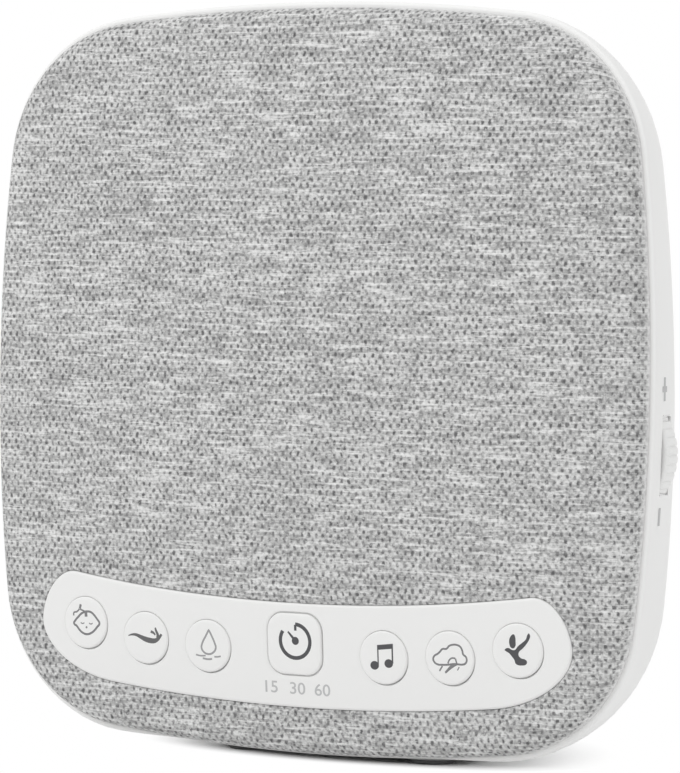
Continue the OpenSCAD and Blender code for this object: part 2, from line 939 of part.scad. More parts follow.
module capacitors() {
    can_r = 3.15;
    can_h = 7.5;
    side = 8;
    step = 9;
    low = main_bottom + 13;
    places = [
        [main_left + side, low + 5],
        [main_left + side + step, low],
        [main_right - side - 5, low + 7]
    ];
    color([0.6, 0.62, 0.66]) in_place()
        for (p = places) rod(p[0], p[1], main_front - can_h, main_front, can_r);
}

// Ribbon that steps from the key board up to the main board
ribbon_in = 14;
ribbon_x = main_left + ribbon_in;
ribbon_w = 10;
ribbon_drop = 2.6;
ribbon_low = -strip_drop - ribbon_drop;
socket_t = 2.4;
module ribbon_cable() {
    t = 0.5;
    front = key_board_back + socket_t;
    back = main_front - socket_t;
    bend = (back - front)/2;
    rise = 7;
    color([0.85, 0.85, 0.82]) in_place()
        translate([ribbon_x - ribbon_w/2, 0, 0]) rotate([90, 0, 90]) linear_extrude(ribbon_w) {
            translate([front, ribbon_low + bend]) intersection() {
                difference() {
                    circle(bend + t/2);
                    circle(bend - t/2);
                }
                translate([0, -2*bend]) square(2*bend);
            }
            translate([front + bend - t/2, ribbon_low + bend]) square([t, rise - 2*bend]);
            translate([back, ribbon_low + rise - bend]) intersection() {
                difference() {
                    circle(bend + t/2);
                    circle(bend - t/2);
                }
                translate([-2*bend, 0]) square(2*bend);
            }
        }
}

module ribbon_sockets() {
    half_w = ribbon_w/2 + 1;
    color([0.9, 0.88, 0.8]) in_place() {
        block(
            [ribbon_x - half_w, key_board_back, ribbon_low - 1.5],
            [ribbon_x + half_w, key_board_back + socket_t, ribbon_low + 1.5]
        );
        block(
            [ribbon_x - half_w, main_front - socket_t, ribbon_low + 5.5],
            [ribbon_x + half_w, main_front, ribbon_low + 8.5]
        );
    }
}

// ---- Power inlet ----

socket_r = 3;
socket_depth = 10;
module power_jack() {
    color([0.1, 0.1, 0.1]) in_place() difference() {
        union() {
            block(
                [jack_x - jack_half, main_back, jack_z - jack_half],
                [jack_x + jack_half, jack_front, jack_z + jack_half]
            );
            rod(jack_x, jack_z, jack_front - 1, recess_floor, nose_r);
        }
        rod(jack_x, jack_z, recess_floor - socket_depth, recess_floor + 1, socket_r);
    }
}

module jack_pin() {
    color([0.8, 0.8, 0.8]) in_place()
        rod(jack_x, jack_z, recess_floor - socket_depth, recess_floor - 1.5, 1);
}

rear_housing();
front_panel();
cloth_cover();
control_strip();
key(-3);  // lullaby_key
key(-2);  // wind_key
key(-1);  // water_key
key(0);  // timer_key
key(1);  // music_key
key(2);  // storm_key
key(3);  // bird_key
volume_wheel();
volume_shaft();
volume_pot();
speaker_basket();
speaker_gasket();
speaker_surround();
speaker_cone();
dust_cap();
voice_coil();
speaker_spider();
top_plate();
speaker_magnet();
speaker_yoke();
speaker_terminal();
speaker_screws();
speaker_leads();
lead_plug();
key_board();
key_board_screws();
tact_switches();
timer_leds();
light_guide();
main_board();
board_screws();
control_chip();
memory_chip();
amplifier_chip();
capacitors();
ribbon_cable();
ribbon_sockets();
power_jack();
jack_pin();
housing_screws();
rubber_feet();
rating_label();
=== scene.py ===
import bpy
import bmesh
import json
from math import asin, atan, atan2, copysign, cos, dist, hypot, pi, radians, sin, sqrt
from mathutils import Matrix, Vector
from mathutils.kdtree import KDTree


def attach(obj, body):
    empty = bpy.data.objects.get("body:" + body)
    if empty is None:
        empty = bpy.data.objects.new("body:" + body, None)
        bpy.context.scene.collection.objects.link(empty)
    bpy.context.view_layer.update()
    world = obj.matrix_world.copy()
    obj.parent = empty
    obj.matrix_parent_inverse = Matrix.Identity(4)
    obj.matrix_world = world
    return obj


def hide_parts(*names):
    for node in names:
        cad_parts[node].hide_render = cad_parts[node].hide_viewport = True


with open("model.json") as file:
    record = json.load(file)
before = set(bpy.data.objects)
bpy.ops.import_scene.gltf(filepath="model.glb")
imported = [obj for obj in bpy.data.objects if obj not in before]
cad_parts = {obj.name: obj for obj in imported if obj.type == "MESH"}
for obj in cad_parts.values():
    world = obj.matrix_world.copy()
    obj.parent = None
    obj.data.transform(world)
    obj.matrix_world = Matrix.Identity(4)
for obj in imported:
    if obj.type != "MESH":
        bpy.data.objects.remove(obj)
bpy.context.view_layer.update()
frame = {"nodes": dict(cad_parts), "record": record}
nodes = frame["nodes"]
print("frame loaded:", len(nodes), "nodes")

mm = 0.001
place = {"seamY": -15.8298, "faceZ": 66.5}  # seam plane and face centre, in millimetres


# small tools for modelling

def point(x, s, z):  # from the face's millimetres to the scene's metres
    return Vector((x * mm, (place["seamY"] + s) * mm, (place["faceZ"] + z) * mm))


def link(piece):
    bpy.context.scene.collection.objects.link(piece)


def choose(pieces):  # selects them, with the first one active
    bpy.ops.object.select_all(action="DESELECT")
    for piece in pieces:
        piece.select_set(True)
    bpy.context.view_layer.objects.active = pieces[0]


def edit(piece, action="SELECT"):
    choose([piece])
    bpy.ops.object.mode_set(mode="EDIT")
    bpy.ops.mesh.select_all(action=action)


def leave():
    bpy.ops.object.mode_set(mode="OBJECT")


def applyModifier(piece, kind, **settings):
    choose([piece])
    modifier = piece.modifiers.new(kind.title(), kind)
    for key, value in settings.items():
        setattr(modifier, key, value)
    bpy.ops.object.modifier_apply(modifier=modifier.name)


def planted(size=None):  # the piece just added, with its place and size baked into its mesh
    piece = bpy.context.active_object
    if size:
        piece.scale = size
    bpy.ops.object.transform_apply(location=True, rotation=True, scale=True)
    return piece


def settle(piece, name, angle):  # names a finished piece and smooths its faces up to an angle
    piece.name = piece.data.name = name
    choose([piece])
    planted()
    bpy.ops.object.shade_smooth_by_angle(angle=radians(angle))
    return piece


def tidy(piece, merge=0.002):  # merges doubles and turns the faces outwards
    edit(piece)
    bpy.ops.mesh.remove_doubles(threshold=merge * mm)
    bpy.ops.mesh.normals_make_consistent(inside=False)
    leave()


def joined(pieces):
    choose(pieces)
    bpy.ops.object.join()
    return pieces[0]


def skin(loops, closed=True):  # extrudes the edges of the first loop to the second, and so on
    count = len(loops[0])
    bpy.ops.mesh.primitive_circle_add(vertices=count, radius=0.01)
    piece = bpy.context.active_object
    for corner, target in zip(piece.data.vertices, loops[0]):
        corner.co = target
    edit(piece)
    order = {index: index for index in range(count)}
    for loop in loops[1:]:
        bpy.ops.mesh.extrude_edges_move()
        shape = bmesh.from_edit_mesh(piece.data)
        shape.verts.index_update()
        fresh = {}
        for corner in shape.verts:
            if corner.select:
                before = next(
                    other.index for other in (edge.other_vert(corner) for edge in corner.link_edges)
                    if not other.select and other.index in order)
                fresh[corner.index] = order[before]
                corner.co = loop[order[before]]
        order = fresh
        bmesh.update_edit_mesh(piece.data)
    if closed:
        bpy.ops.mesh.edge_face_add()
        bpy.ops.mesh.select_all(action="DESELECT")
        shape = bmesh.from_edit_mesh(piece.data)
        shape.verts.ensure_lookup_table()
        for index in range(count):
            shape.verts[index].select_set(True)
        shape.select_flush(True)
        bmesh.update_edit_mesh(piece.data)
        bpy.ops.mesh.edge_face_add()
    leave()
    tidy(piece)
    return piece


# small tools for materials

class Signal:  # a node's output that can be used in a sum
    def __init__(self, finish, socket):
        self.finish, self.socket = finish, socket

    __add__ = lambda self, other: self.finish.function("ADD", self, other)
    __radd__ = lambda self, other: self.finish.function("ADD", other, self)
    __sub__ = lambda self, other: self.finish.function("SUBTRACT", self, other)
    __rsub__ = lambda self, other: self.finish.function("SUBTRACT", other, self)
    __mul__ = lambda self, other: self.finish.function("MULTIPLY", self, other)
    __truediv__ = lambda self, other: self.finish.function("DIVIDE", self, other)
    __pow__ = lambda self, other: self.finish.function("POWER", self, other)


class Finish:  # a material, or the world, built up node by node
    def __init__(self, owner, output="OutputMaterial", shader="BsdfPrincipled", **constants):
        self.owner = bpy.data.materials.new(owner) if isinstance(owner, str) else owner
        self.owner.use_nodes = True
        self.tree = self.owner.node_tree
        self.tree.nodes.clear()
        self.output = self.tree.nodes.new("ShaderNode" + output)
        self.shader = self.tree.nodes.new("ShaderNode" + shader)
        self.tree.links.new(self.shader.outputs[0], self.output.inputs[0])
        self.feed(**constants)

    def put(self, node, key, value):
        if isinstance(value, Signal):
            self.tree.links.new(value.socket, node.inputs[key])
        else:
            node.inputs[key].default_value = value

    def feed(self, **sockets):
        for key, value in sockets.items():
            self.put(self.shader, key.replace("_", " "), value)
        return self.owner

    def node(self, kind, sockets, output=0, **settings):
        node = self.tree.nodes.new("ShaderNode" + kind)
        for key, value in settings.items():
            setattr(node, key, value)
        for key, value in sockets.items():
            self.put(node, key, value)
        return Signal(self, node.outputs[output])

    def place(self, stretch=(1, 1, 1)):  # object coordinates in millimetres, stretched
        here = self.node("TexCoord", {}, "Object")
        scale = [1000 * part for part in stretch]
        return self.node("Mapping", {"Vector": here, "Scale": scale}, vector_type="POINT")

    def noise(self, where, scale, detail=2, rough=0.5):
        return self.node(
            "TexNoise", {"Vector": where, "Scale": scale, "Detail": detail, "Roughness": rough})

    def parts(self, vector):
        node = self.tree.nodes.new("ShaderNodeSeparateXYZ")
        self.put(node, 0, vector)
        return [Signal(self, socket) for socket in node.outputs]

    def rays(self, *kinds):  # 1 for rays of a kind, 0 for others
        path = self.tree.nodes.new("ShaderNodeLightPath")
        return [Signal(self, path.outputs[f"Is {kind} Ray"]) for kind in kinds]

    def vector(self, x, y, z=0):
        return self.node("CombineXYZ", {0: x, 1: y, 2: z})

    def function(self, operation, value, other=0.5):
        return self.node("Math", {0: value, 1: other}, operation=operation)

    def between(self, value, low, high):  # 0 below low, 1 above high, smooth between
        return self.node(
            "MapRange", {"Value": value, "From Min": low, "From Max": high}, interpolation_type="SMOOTHSTEP")

    def blend(self, first, second, factor):  # mixes two colours
        return self.node("Mix", {0: factor, 6: first, 7: second}, 2, data_type="RGBA")

    def look(self, color, rough, height, strength, distance):
        bump = {"Height": height, "Strength": strength, "Distance": distance * mm}
        return self.feed(Base_Color=color, Roughness=rough, Normal=self.node("Bump", bump))


def tone(color, factor=1):
    return (*[min(1, part * factor) for part in color], 1)


def moulded(name, color, vary, grain, rough, relief):  # plastic: fine satin, a faint change of tone
    finish = Finish(name, IOR=1.48)
    here = finish.place()
    cloud = finish.noise(here, 0.06, 3)
    fine = finish.noise(here, grain)
    return finish.look(
        finish.blend(tone(color, 1 - vary), tone(color, 1 + vary), cloud),
        rough - 0.04 + cloud * 0.04 + fine * 0.05, fine, relief, 0.02)


def brushed(name, color, lines, rough):  # plain or plated metal with fine lines
    finish = Finish(name, Metallic=1.0)
    fine = finish.noise(finish.place(lines), 1.0, 4, 0.6)
    cloud = finish.noise(finish.place(), 0.2)
    return finish.look(
        finish.blend(tone(color, 0.86), tone(color, 1.08), cloud), rough + fine * 0.15, fine, 0.15, 0.01)


def speckled(name, color, speck, scale, rough, relief):  # pressed or matt stuff with small specks
    finish = Finish(name, IOR=1.45)
    specks = finish.between(finish.noise(finish.place(), scale, 3, 0.7), 0.5, 0.72)
    return finish.look(
        finish.blend(tone(color), tone(speck), specks), rough + specks * 0.1, specks, relief, 0.05)


def clearResin(name, color, rough):
    finish = Finish(name, IOR=1.49, Transmission_Weight=0.85)
    haze = finish.noise(finish.place(), 0.5, 3)
    return finish.feed(
        Base_Color=finish.blend(tone(color, 0.92), tone(color, 1.05), haze), Roughness=rough + haze * 0.06)


# the face, the shell and the strip as curves

face = {"width": 130, "cornerR": 26.5, "sideR": 355, "crown": 3.9, "edgeR": 3.3}
shell = {"depth": 36, "wedge": 7, "drawIn": 41, "wall": 2.4, "lip": 1, "lastAngle": 80}
band = {
    "arcR": 330, "rise": 17.6, "height": 18, "rowMargin": 21.5, "endRoom": 1.8, "proud": 0.3,
    "low": 0.3, "blunt": 1.1, "topCurve": 1.5, "lowCurve": 8.3,  # how its ends round off
    "timerRoom": 0.3721, "timerUp": 1.8,  # more room beside the timer key, in pitches; its lift
}

half = face["width"] / 2
bowC = face["sideR"] - half
cornerC = (sqrt(2 * (face["sideR"] - face["cornerR"]) ** 2 - bowC ** 2) - bowC) / 2
bowHalf = atan2(cornerC, cornerC + bowC)
crownTilt = atan(2 * face["crown"] / half)
edgeIn = face["edgeR"] * (1 - sin(crownTilt))
edgeRho = 1 - edgeIn / half
edgeBase = face["edgeR"] + face["crown"] * (1 - edgeRho ** 2) - face["edgeR"] * cos(crownTilt)


def edgeAt(heading, grow=0):  # the outline's point in a heading, clockwise from the top, grown outwards
    quarter = round(heading / (pi / 2))
    turn = quarter * pi / 2
    a = heading - turn
    r = sqrt(face["sideR"] ** 2 - (bowC * sin(a)) ** 2) - bowC * cos(a)
    x, z = r * sin(a), r * cos(a)
    nx, nz = x / face["sideR"], (z + bowC) / face["sideR"]
    if abs(atan2(x, z + bowC)) > bowHalf:
        d = cornerC * sqrt(2)
        off = pi / 4 - abs(a)
        r = d * cos(off) + sqrt(face["cornerR"] ** 2 - (d * sin(off)) ** 2)
        x, z = r * sin(a), r * cos(a)
        nx, nz = (x - copysign(cornerC, a)) / face["cornerR"], (z - cornerC) / face["cornerR"]
    x, z = x + nx * grow, z + nz * grow
    return (x * cos(turn) + z * sin(turn), z * cos(turn) - x * sin(turn))


def crownAt(x, z):  # depth of the cloth's outer surface
    rho = hypot(x, z) / hypot(*edgeAt(atan2(x, z), -edgeIn))
    return -face["edgeR"] - face["crown"] * (1 - (edgeRho * rho) ** 2)


def onCrown(x, z, down=0):
    return point(x, crownAt(x, z) + down, z)


def drawnIn(a):  # how much narrower the shell is where it has turned by an angle
    return 1 - shell["drawIn"] / (half + shell["lip"]) * (1 - cos(a))


def shellAt(heading, grow, angle, back):  # where it has turned by an angle, less deep by back
    x, z = edgeAt(heading, grow)
    a = radians(angle)
    size = drawnIn(a)
    depth = sin(a) * (shell["depth"] - back - shell["wedge"] * z * size / half)
    return (x * size, depth, z * size)


def wallAt(s, z):  # how far right the side wall lies
    size = drawnIn(asin(s / (shell["depth"] - shell["wedge"] * z / half)))
    x = half
    for _ in range(3):
        x = edgeAt(atan2(x, z / size), shell["lip"])[0]
    return x * size


def backAt(z):  # depth of the flat back
    return sin(radians(shell["lastAngle"])) * (shell["depth"] - shell["wedge"] * z / half)


lastKey = half - band["rowMargin"]
keyPitch = lastKey / (3 + band["timerRoom"])
endAngle = asin((lastKey + band["endRoom"]) / band["arcR"])
topAngle = endAngle + band["topCurve"] / band["arcR"]
lowAngle = endAngle - band["lowCurve"] / band["arcR"]
arcZ = band["arcR"] - (half - band["rise"])


def arcPoint(r, a):
    return (r * sin(a), arcZ - r * cos(a))


def keyPlace(n):  # middle of a key, from -3 to 3
    x = copysign((abs(n) + band["timerRoom"]) * keyPitch, n) if n else 0
    return (x, arcZ - sqrt(band["arcR"] ** 2 - x * x) + (0 if n else band["timerUp"]))


def rimAt(part, a, grow):
    # the strip's edge: "top" and "bottom" by angle, "cap" by side and turn;
    # or "across" it, by angle and share of the height
    up = band["height"] / 2 + grow
    low = up + band["low"]
    if part == "top":
        return arcPoint(band["arcR"] - up, a)
    if part == "bottom":
        return arcPoint(band["arcR"] + low, a)
    if part == "across":
        return arcPoint(band["arcR"] - a[1] * (up if a[1] > 0 else low), a[0])
    side, turn = a
    start, across = (band["topCurve"], up) if turn < pi / 2 else (-band["lowCurve"], low)
    run = start + (up - band["blunt"] - start) * sin(turn)
    return arcPoint(band["arcR"] - across * cos(turn), side * (endAngle + run / band["arcR"]))


def rimRow(parts, grow, down):
    return [onCrown(*rimAt(*part, grow), down) for part in parts]


def spread(low, high, count):  # count + 1 even steps, both ends included
    return [low + (high - low) * step / count for step in range(count + 1)]


def evenly(pathAt, low, high, count, finest=2000):  # count values between two, evenly along a path
    fine = spread(low, high, finest)
    points = [pathAt(value) for value in fine]
    run = [0]
    for a, b in zip(points, points[1:]):
        run.append(run[-1] + dist(a, b))
    values, k = [], 0
    for step in range(count):
        want = run[-1] * step / count
        while run[k + 1] < want:
            k += 1
        values.append(fine[k] + (fine[k + 1] - fine[k]) * (want - run[k]) / (run[k + 1] - run[k]))
    return values


# camera, light and floor

view = {
    "yaw": 29.672, "pitch": 1.844, "roll": 0.789,
    "distance": 730.71, "across": 5.308, "up": -0.799, "lens": 195.84,
}
yaw, pitch, roll = (radians(view[key]) for key in ("yaw", "pitch", "roll"))
turned = (Matrix.Rotation(yaw, 4, "Z") @ Matrix.Rotation(pi / 2 - pitch, 4, "X")
          @ Matrix.Rotation(roll, 4, "Z"))
cameraAt = point(view["across"], 0, view["up"]) + turned @ Vector((0, 0, view["distance"] * mm))
camera = bpy.data.objects.new("camera", bpy.data.cameras.new("camera"))
camera.data.lens = view["lens"]
camera.data.clip_start = 0.05
camera.matrix_world = Matrix.Translation(cameraAt) @ turned
link(camera)
bpy.context.scene.camera = camera
bpy.context.scene.view_settings.view_transform = "Standard"

lamps = {
    # name: (power, size, place, aim)
    "keyLamp": (10.5, 1.0, (-0.8, -1.25, 1.15), (0, 0, 0.06)),
    "fillLamp": (4.2, 1.3, (1.7, -0.35, 0.8), (0, 0, 0.06)),
    "topLamp": (4.0, 1.2, (0.1, 0.2, 1.6), (0, 0, 0)),
}
for name, (power, size, at, aim) in lamps.items():
    lamp = bpy.data.lights.new(name, "AREA")
    lamp.energy, lamp.size = power, size
    holder = bpy.data.objects.new(name, lamp)
    holder.location = at
    holder.rotation_euler = (Vector(aim) - Vector(at)).to_track_quat("-Z", "Y").to_euler()
    link(holder)

studio = {"around": 0.62, "seen": 1.0}  # light from all round, and the white that the camera sees
bpy.context.scene.world = bpy.data.worlds.new("studio")
sky = Finish(bpy.context.scene.world, "OutputWorld", "Background", Color=(1, 1, 1, 1))
direct = sky.node("Math", dict(enumerate(sky.rays("Camera", "Glossy"))), operation="ADD", use_clamp=True)
sky.feed(Strength=sky.node("Mix", {0: direct, 2: studio["around"], 3: studio["seen"]}))

ground = {  # white beyond the shadow, from near to far
    "size": 60, "color": (0.92, 0.92, 0.92), "vary": 0.005, "rough": 0.9,
    "near": 13, "far": 21, "middle": 4, "across": 0.46, "behind": 0.45,
}
bpy.ops.mesh.primitive_plane_add(size=ground["size"], location=(0, 0, 0))
floor = bpy.context.active_object
floor.name = "floor"
paper = Finish("floorPaper", Roughness=ground["rough"])
mottle = paper.noise(paper.place(), 0.01)
paper.feed(Base_Color=paper.blend(
    tone(ground["color"], 1 - ground["vary"]), tone(ground["color"], 1 + ground["vary"]), mottle))
across, along, height = paper.parts(paper.place())
depth = paper.function("MAXIMUM", ground["middle"] - along, (along - ground["middle"]) * ground["behind"])
spot = paper.vector(across * ground["across"], depth)
away = paper.node("VectorMath", {0: spot}, "Value", operation="LENGTH")
looks = paper.rays("Camera", "Glossy", "Transmission")
shown = paper.function("MINIMUM", looks[0] + looks[1] + looks[2], 1)
shown = shown * paper.between(away, ground["near"], ground["far"])
paper.put(paper.output, 0, paper.node("MixShader", {
    0: shown, 1: Signal(paper, paper.shader.outputs[0]), 2: paper.node("Emission", {})}))
floor.data.materials.append(paper.owner)
print("camera, light and floor made")


# rear housing

housing = {
    "around": 44,  # loop points in each quarter
    "innerStep": 10, "outerFrom": 3, "outerStep": 4, "rollFrom": 76,  # degrees along the shell
    "rollIn": 0.955,  # where the roll into the back ends, of the way from the middle
    "lip": [  # growth and depth, from the inside of the lip to its outside
        (-1.4, 0.6), (-1.3, 0.42), (-0.2, 0.35), (-0.04, 0.3), (-0.04, 0), (-0.03, -0.3), (0, -0.41),
        (0.2, -0.48), (0.42, -0.49), (0.63, -0.46), (0.81, -0.35), (0.93, -0.16), (0.99, 0.1)],
    "low": {"share": 0.12, "from": 22, "to": 42},  # the lip is flatter at the bottom, across the middle
    "posts": {
        # name: (places, the post's front, radius and sides, each hole's front, back, radius and sides)
        "screws": ([(-43, 43), (43, 43), (-50, -30), (50, -30)],
                   (7.6, 4.7, 48), [(6.6, 10.6, 1.6, 24), (9.6, 46, 3.2, 48)]),
        "board": ([(-34.5, -16.5), (-34.5, -44.5), (40.5, -44.5), (40.5, -22)],
                  (18.6, 3, 32), [(17.6, 25.6, 0.9, 16)]),
        "jack": ([(-18, -20)], (31.474, 7.4, 48), [(32.974, 46, 5.5, 64), (30.474, 33.974, 4, 48)]),
    },
    "beyond": 46,  # a depth behind the whole shell
    "core": {"in": 1.2, "around": 96, "step": 16},  # the posts end in the middle of the wall
    "slot": {"x": 55.8, "z": -10.8, "r": 11.2, "front": 3.1, "back": 8, "height": 11.4, "corner": 0.9,
             "scoop": 1.15, "groove": 0.5, "grooveDeep": 0.8, "grooveCorner": 0.2},
    "foot": {"half": 26, "front": 6, "back": 30, "corner": 9, "floor": -65.6, "high": 16, "edge": 0.7,
             "wall": 2.4, "hollow": 14},
    "pads": {"x": (-18.5, 18.5), "s": (11.2, 24.8), "r": 4.1, "high": 2, "up": 0.1},
    "label": {"width": 36.6, "height": 18.6, "corner": 2.1, "z": 13, "deep": 0.3},
}


def lipAt(heading):  # how much of the lip is left in a heading
    low, (x, z) = housing["low"], edgeAt(heading)
    t = min(1, max(0, (abs(x) - low["from"]) / (low["to"] - low["from"])))
    return 1 if z > 0 else low["share"] + (1 - low["share"]) * t * t * (3 - 2 * t)


def shellLoops():  # from the middle of the inside, round the lip, to the middle of the back
    headings = evenly(edgeAt, 0, 2 * pi, 4 * housing["around"])
    last = shell["lastAngle"]
    inside = lambda angle: [
        shellAt(a, shell["lip"] - shell["wall"], angle, shell["wall"]) for a in headings]
    outside = lambda angle: [shellAt(a, shell["lip"] * lipAt(a), angle, 0) for a in headings]
    rows = [[(x * size, s, z * size) for x, s, z in inside(last)] for size in (0.2, 0.6)]
    rows += [inside(angle) for angle in range(last, 0, -housing["innerStep"])]
    for grow, s in housing["lip"]:
        edges = [edgeAt(a, grow * lipAt(a) if grow > 0 else grow) for a in headings]
        rows.append([(x, s, z) for x, z in edges])
    steps = range(housing["outerFrom"], housing["rollFrom"], housing["outerStep"])
    rows += [outside(angle) for angle in steps]
    start, corner = outside(housing["rollFrom"]), outside(last)
    for t in (0.15, 0.35, 0.6, 0.8, 1):  # rolls over into the flat back
        row = []
        for a, b in zip(start, corner):
            x, z = b[0] * housing["rollIn"], b[2] * housing["rollIn"]
            row.append([(1 - t) ** 2 * p + 2 * t * (1 - t) * q + t * t * r
                        for p, q, r in zip(a, b, (x, backAt(z), z))])
        rows.append(row)
    rows += [[(x * size, backAt(z * size), z * size) for x, s, z in corner] for size in (0.9, 0.6, 0.3)]
    return [[point(*at) for at in row] for row in rows]


def bar(x, z, front, back, r, sides):  # round bar along the depth
    bpy.ops.mesh.primitive_cylinder_add(
        vertices=sides, radius=r * mm, depth=(back - front) * mm,
        location=point(x, (front + back) / 2, z), rotation=(pi / 2, 0, 0))
    return planted()


def brick(low, high):
    a, b = point(*low), point(*high)
    bpy.ops.mesh.primitive_cube_add(size=1, location=(a + b) / 2)
    return planted([abs(v) for v in b - a])


def cut(piece, tools, how="DIFFERENCE"):
    for tool in tools:
        applyModifier(piece, "BOOLEAN", object=tool, operation=how, solver="MANIFOLD")
        bpy.data.objects.remove(tool)


def bevelEdges(piece, pick, width, segments):  # rounds the edges that pick accepts
    edit(piece, "DESELECT")
    bpy.ops.mesh.select_mode(type="EDGE")
    shape = bmesh.from_edit_mesh(piece.data)
    for edge in shape.edges:
        edge.select_set(pick(*[corner.co for corner in edge.verts]))
    bmesh.update_edit_mesh(piece.data)
    bpy.ops.mesh.bevel(offset=width * mm, segments=segments, profile=0.5, affect="EDGES")
    bpy.ops.mesh.select_mode(type="VERT")
    leave()


def alongAxis(axis):  # accepts the long edges that run along an axis
    return lambda a, b: abs(a[axis] - b[axis]) > 5 * mm


def footBlock(inset, high, segments):  # the block under the curved bottom, or the hollow in it
    foot = housing["foot"]
    block = brick((-foot["half"] + inset, foot["front"] + inset, foot["floor"] + inset),
                  (foot["half"] - inset, foot["back"] - inset, foot["floor"] + high))
    bevelEdges(block, alongAxis(2), foot["corner"] - inset, segments)
    return block


def slotLoop(lift, front, back, halfHigh, r):  # an outline round the wheel, at a height over the wall
    loop, middle = [], housing["slot"]["z"]
    for k, (side, top) in enumerate(((1, 1), (-1, 1), (-1, -1), (1, -1))):
        for turn in spread(0, 90, 5):
            a = radians(turn + 90 * k)
            s = (front + back) / 2 + side * ((back - front) / 2 - r) + r * cos(a)
            z = middle + top * (halfHigh - r) + r * sin(a)
            loop.append(point(wallAt(s, z) + lift, s, z))
    return loop


def slotTools():
    slot = housing["slot"]
    front, back, halfHigh, scoop = slot["front"], slot["back"], slot["height"] / 2, slot["scoop"]
    mouth = brick(  # no two of the tools share a face
        (half - 4, front + 0.03, slot["z"] - halfHigh), (half + 4, back - 0.03, slot["z"] + halfHigh))
    bevelEdges(mouth, alongAxis(0), slot["corner"], 4)
    ends = skin([  # the slot's ends slope down to the wheel
        slotLoop(lift, front - edge, back + edge, halfHigh + grow, slot["corner"])
        for lift, edge, grow in ((-1, -0.06, 0.05), (0, 0.04, scoop), (1, 0.14, 2 * scoop))])
    groove = skin([  # and a groove runs along its front
        slotLoop(lift, front - 0.08, front + slot["groove"], halfHigh + scoop, slot["grooveCorner"])
        for lift in (-slot["grooveDeep"], 0, 1)])
    return [bar(slot["x"], slot["z"], front, back, slot["r"], 96), mouth, ends, groove]


def padHole(x, s):
    pads = housing["pads"]
    bpy.ops.mesh.primitive_cylinder_add(
        vertices=40, radius=pads["r"] * mm, depth=pads["high"] * mm,
        location=point(x, s, housing["foot"]["floor"] + pads["up"]))
    return planted()


def labelHole():
    label = housing["label"]
    lean = atan(sin(radians(shell["lastAngle"])) * shell["wedge"] / half)
    bpy.ops.mesh.primitive_cube_add(
        size=1, location=point(0, backAt(label["z"]), label["z"]), rotation=(lean, 0, 0))
    plate = planted((label["width"] * mm, 2 * label["deep"] * mm, label["height"] * mm))
    bevelEdges(plate, lambda a, b: max(abs(a.x - b.x), abs(a.z - b.z)) < 1 * mm, label["corner"], 8)
    return plate


def makeHousing():
    piece = skin(shellLoops())
    foot, core, pads = housing["foot"], housing["core"], housing["pads"]
    block = footBlock(0, foot["high"], 12)
    low = point(0, 0, foot["floor"] + 0.01).z
    bevelEdges(block, lambda a, b: max(a.z, b.z) < low, foot["edge"], 3)
    cut(piece, [block], "UNION")
    cut(piece, [footBlock(foot["wall"], foot["hollow"], 6)])
    headings = evenly(edgeAt, 0, 2 * pi, core["around"])
    middle = skin([
        [point(*shellAt(a, shell["lip"] - core["in"], angle, core["in"])) for a in headings]
        for angle in range(0, shell["lastAngle"] + 1, core["step"])])
    posts, tools = [], []
    for places, (front, r, sides), holes in housing["posts"].values():
        posts += [bar(*at, front, housing["beyond"], r, sides) for at in places]
        tools += [bar(*at, *hole) for at in places for hole in holes]
    for post in posts:
        inside = middle.copy()
        inside.data = middle.data.copy()
        link(inside)
        cut(post, [inside], "INTERSECT")
    bpy.data.objects.remove(middle)
    cut(piece, posts, "UNION")
    tools += slotTools() + [padHole(x, s) for x in pads["x"] for s in pads["s"]]
    cut(piece, tools + [labelHole()])
    return settle(piece, "housingShell", 28)


housingShell = makeHousing()
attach(housingShell, "unit")
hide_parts("rear_housing")
print("housing made:", len(housingShell.data.polygons), "faces")


# cloth cover

cloth = {
    "top": 150, "bottom": 90,  # loop points above and below the strip
    "towards": (62, -44),  # where the loop's lower part begins
    "rows": 26, "thick": 0.55, "windowGap": 0.04, "fold": 0.25, "tuck": 1.4,
    "hem": [(-0.5, 0.25, 3.9), (-0.18, 0.22, 3.6), (-0.03, 0.05, 3.4)],  # growth, depth, way past the crown
    "mapped": 150,  # millimetres of cloth across the map of its threads
    "flat": (0.146, 0.146), "area": 0.0182,
}


def windowPath(upper):  # the strip's edge as one path, from the left tip to the right or back
    side = 1 if upper else -1

    def at(t):  # 0 to 3: half a cap, an edge, half a cap
        if t < 1:
            return ("cap", (-side, pi / 2 * (1 - side * t)))
        if t < 2:
            return ("top", topAngle * (2 * t - 3)) if upper else ("bottom", lowAngle * (3 - 2 * t))
        return ("cap", (side, pi / 2 * (t - 2) if upper else pi - pi / 2 * (t - 2)))
    return at


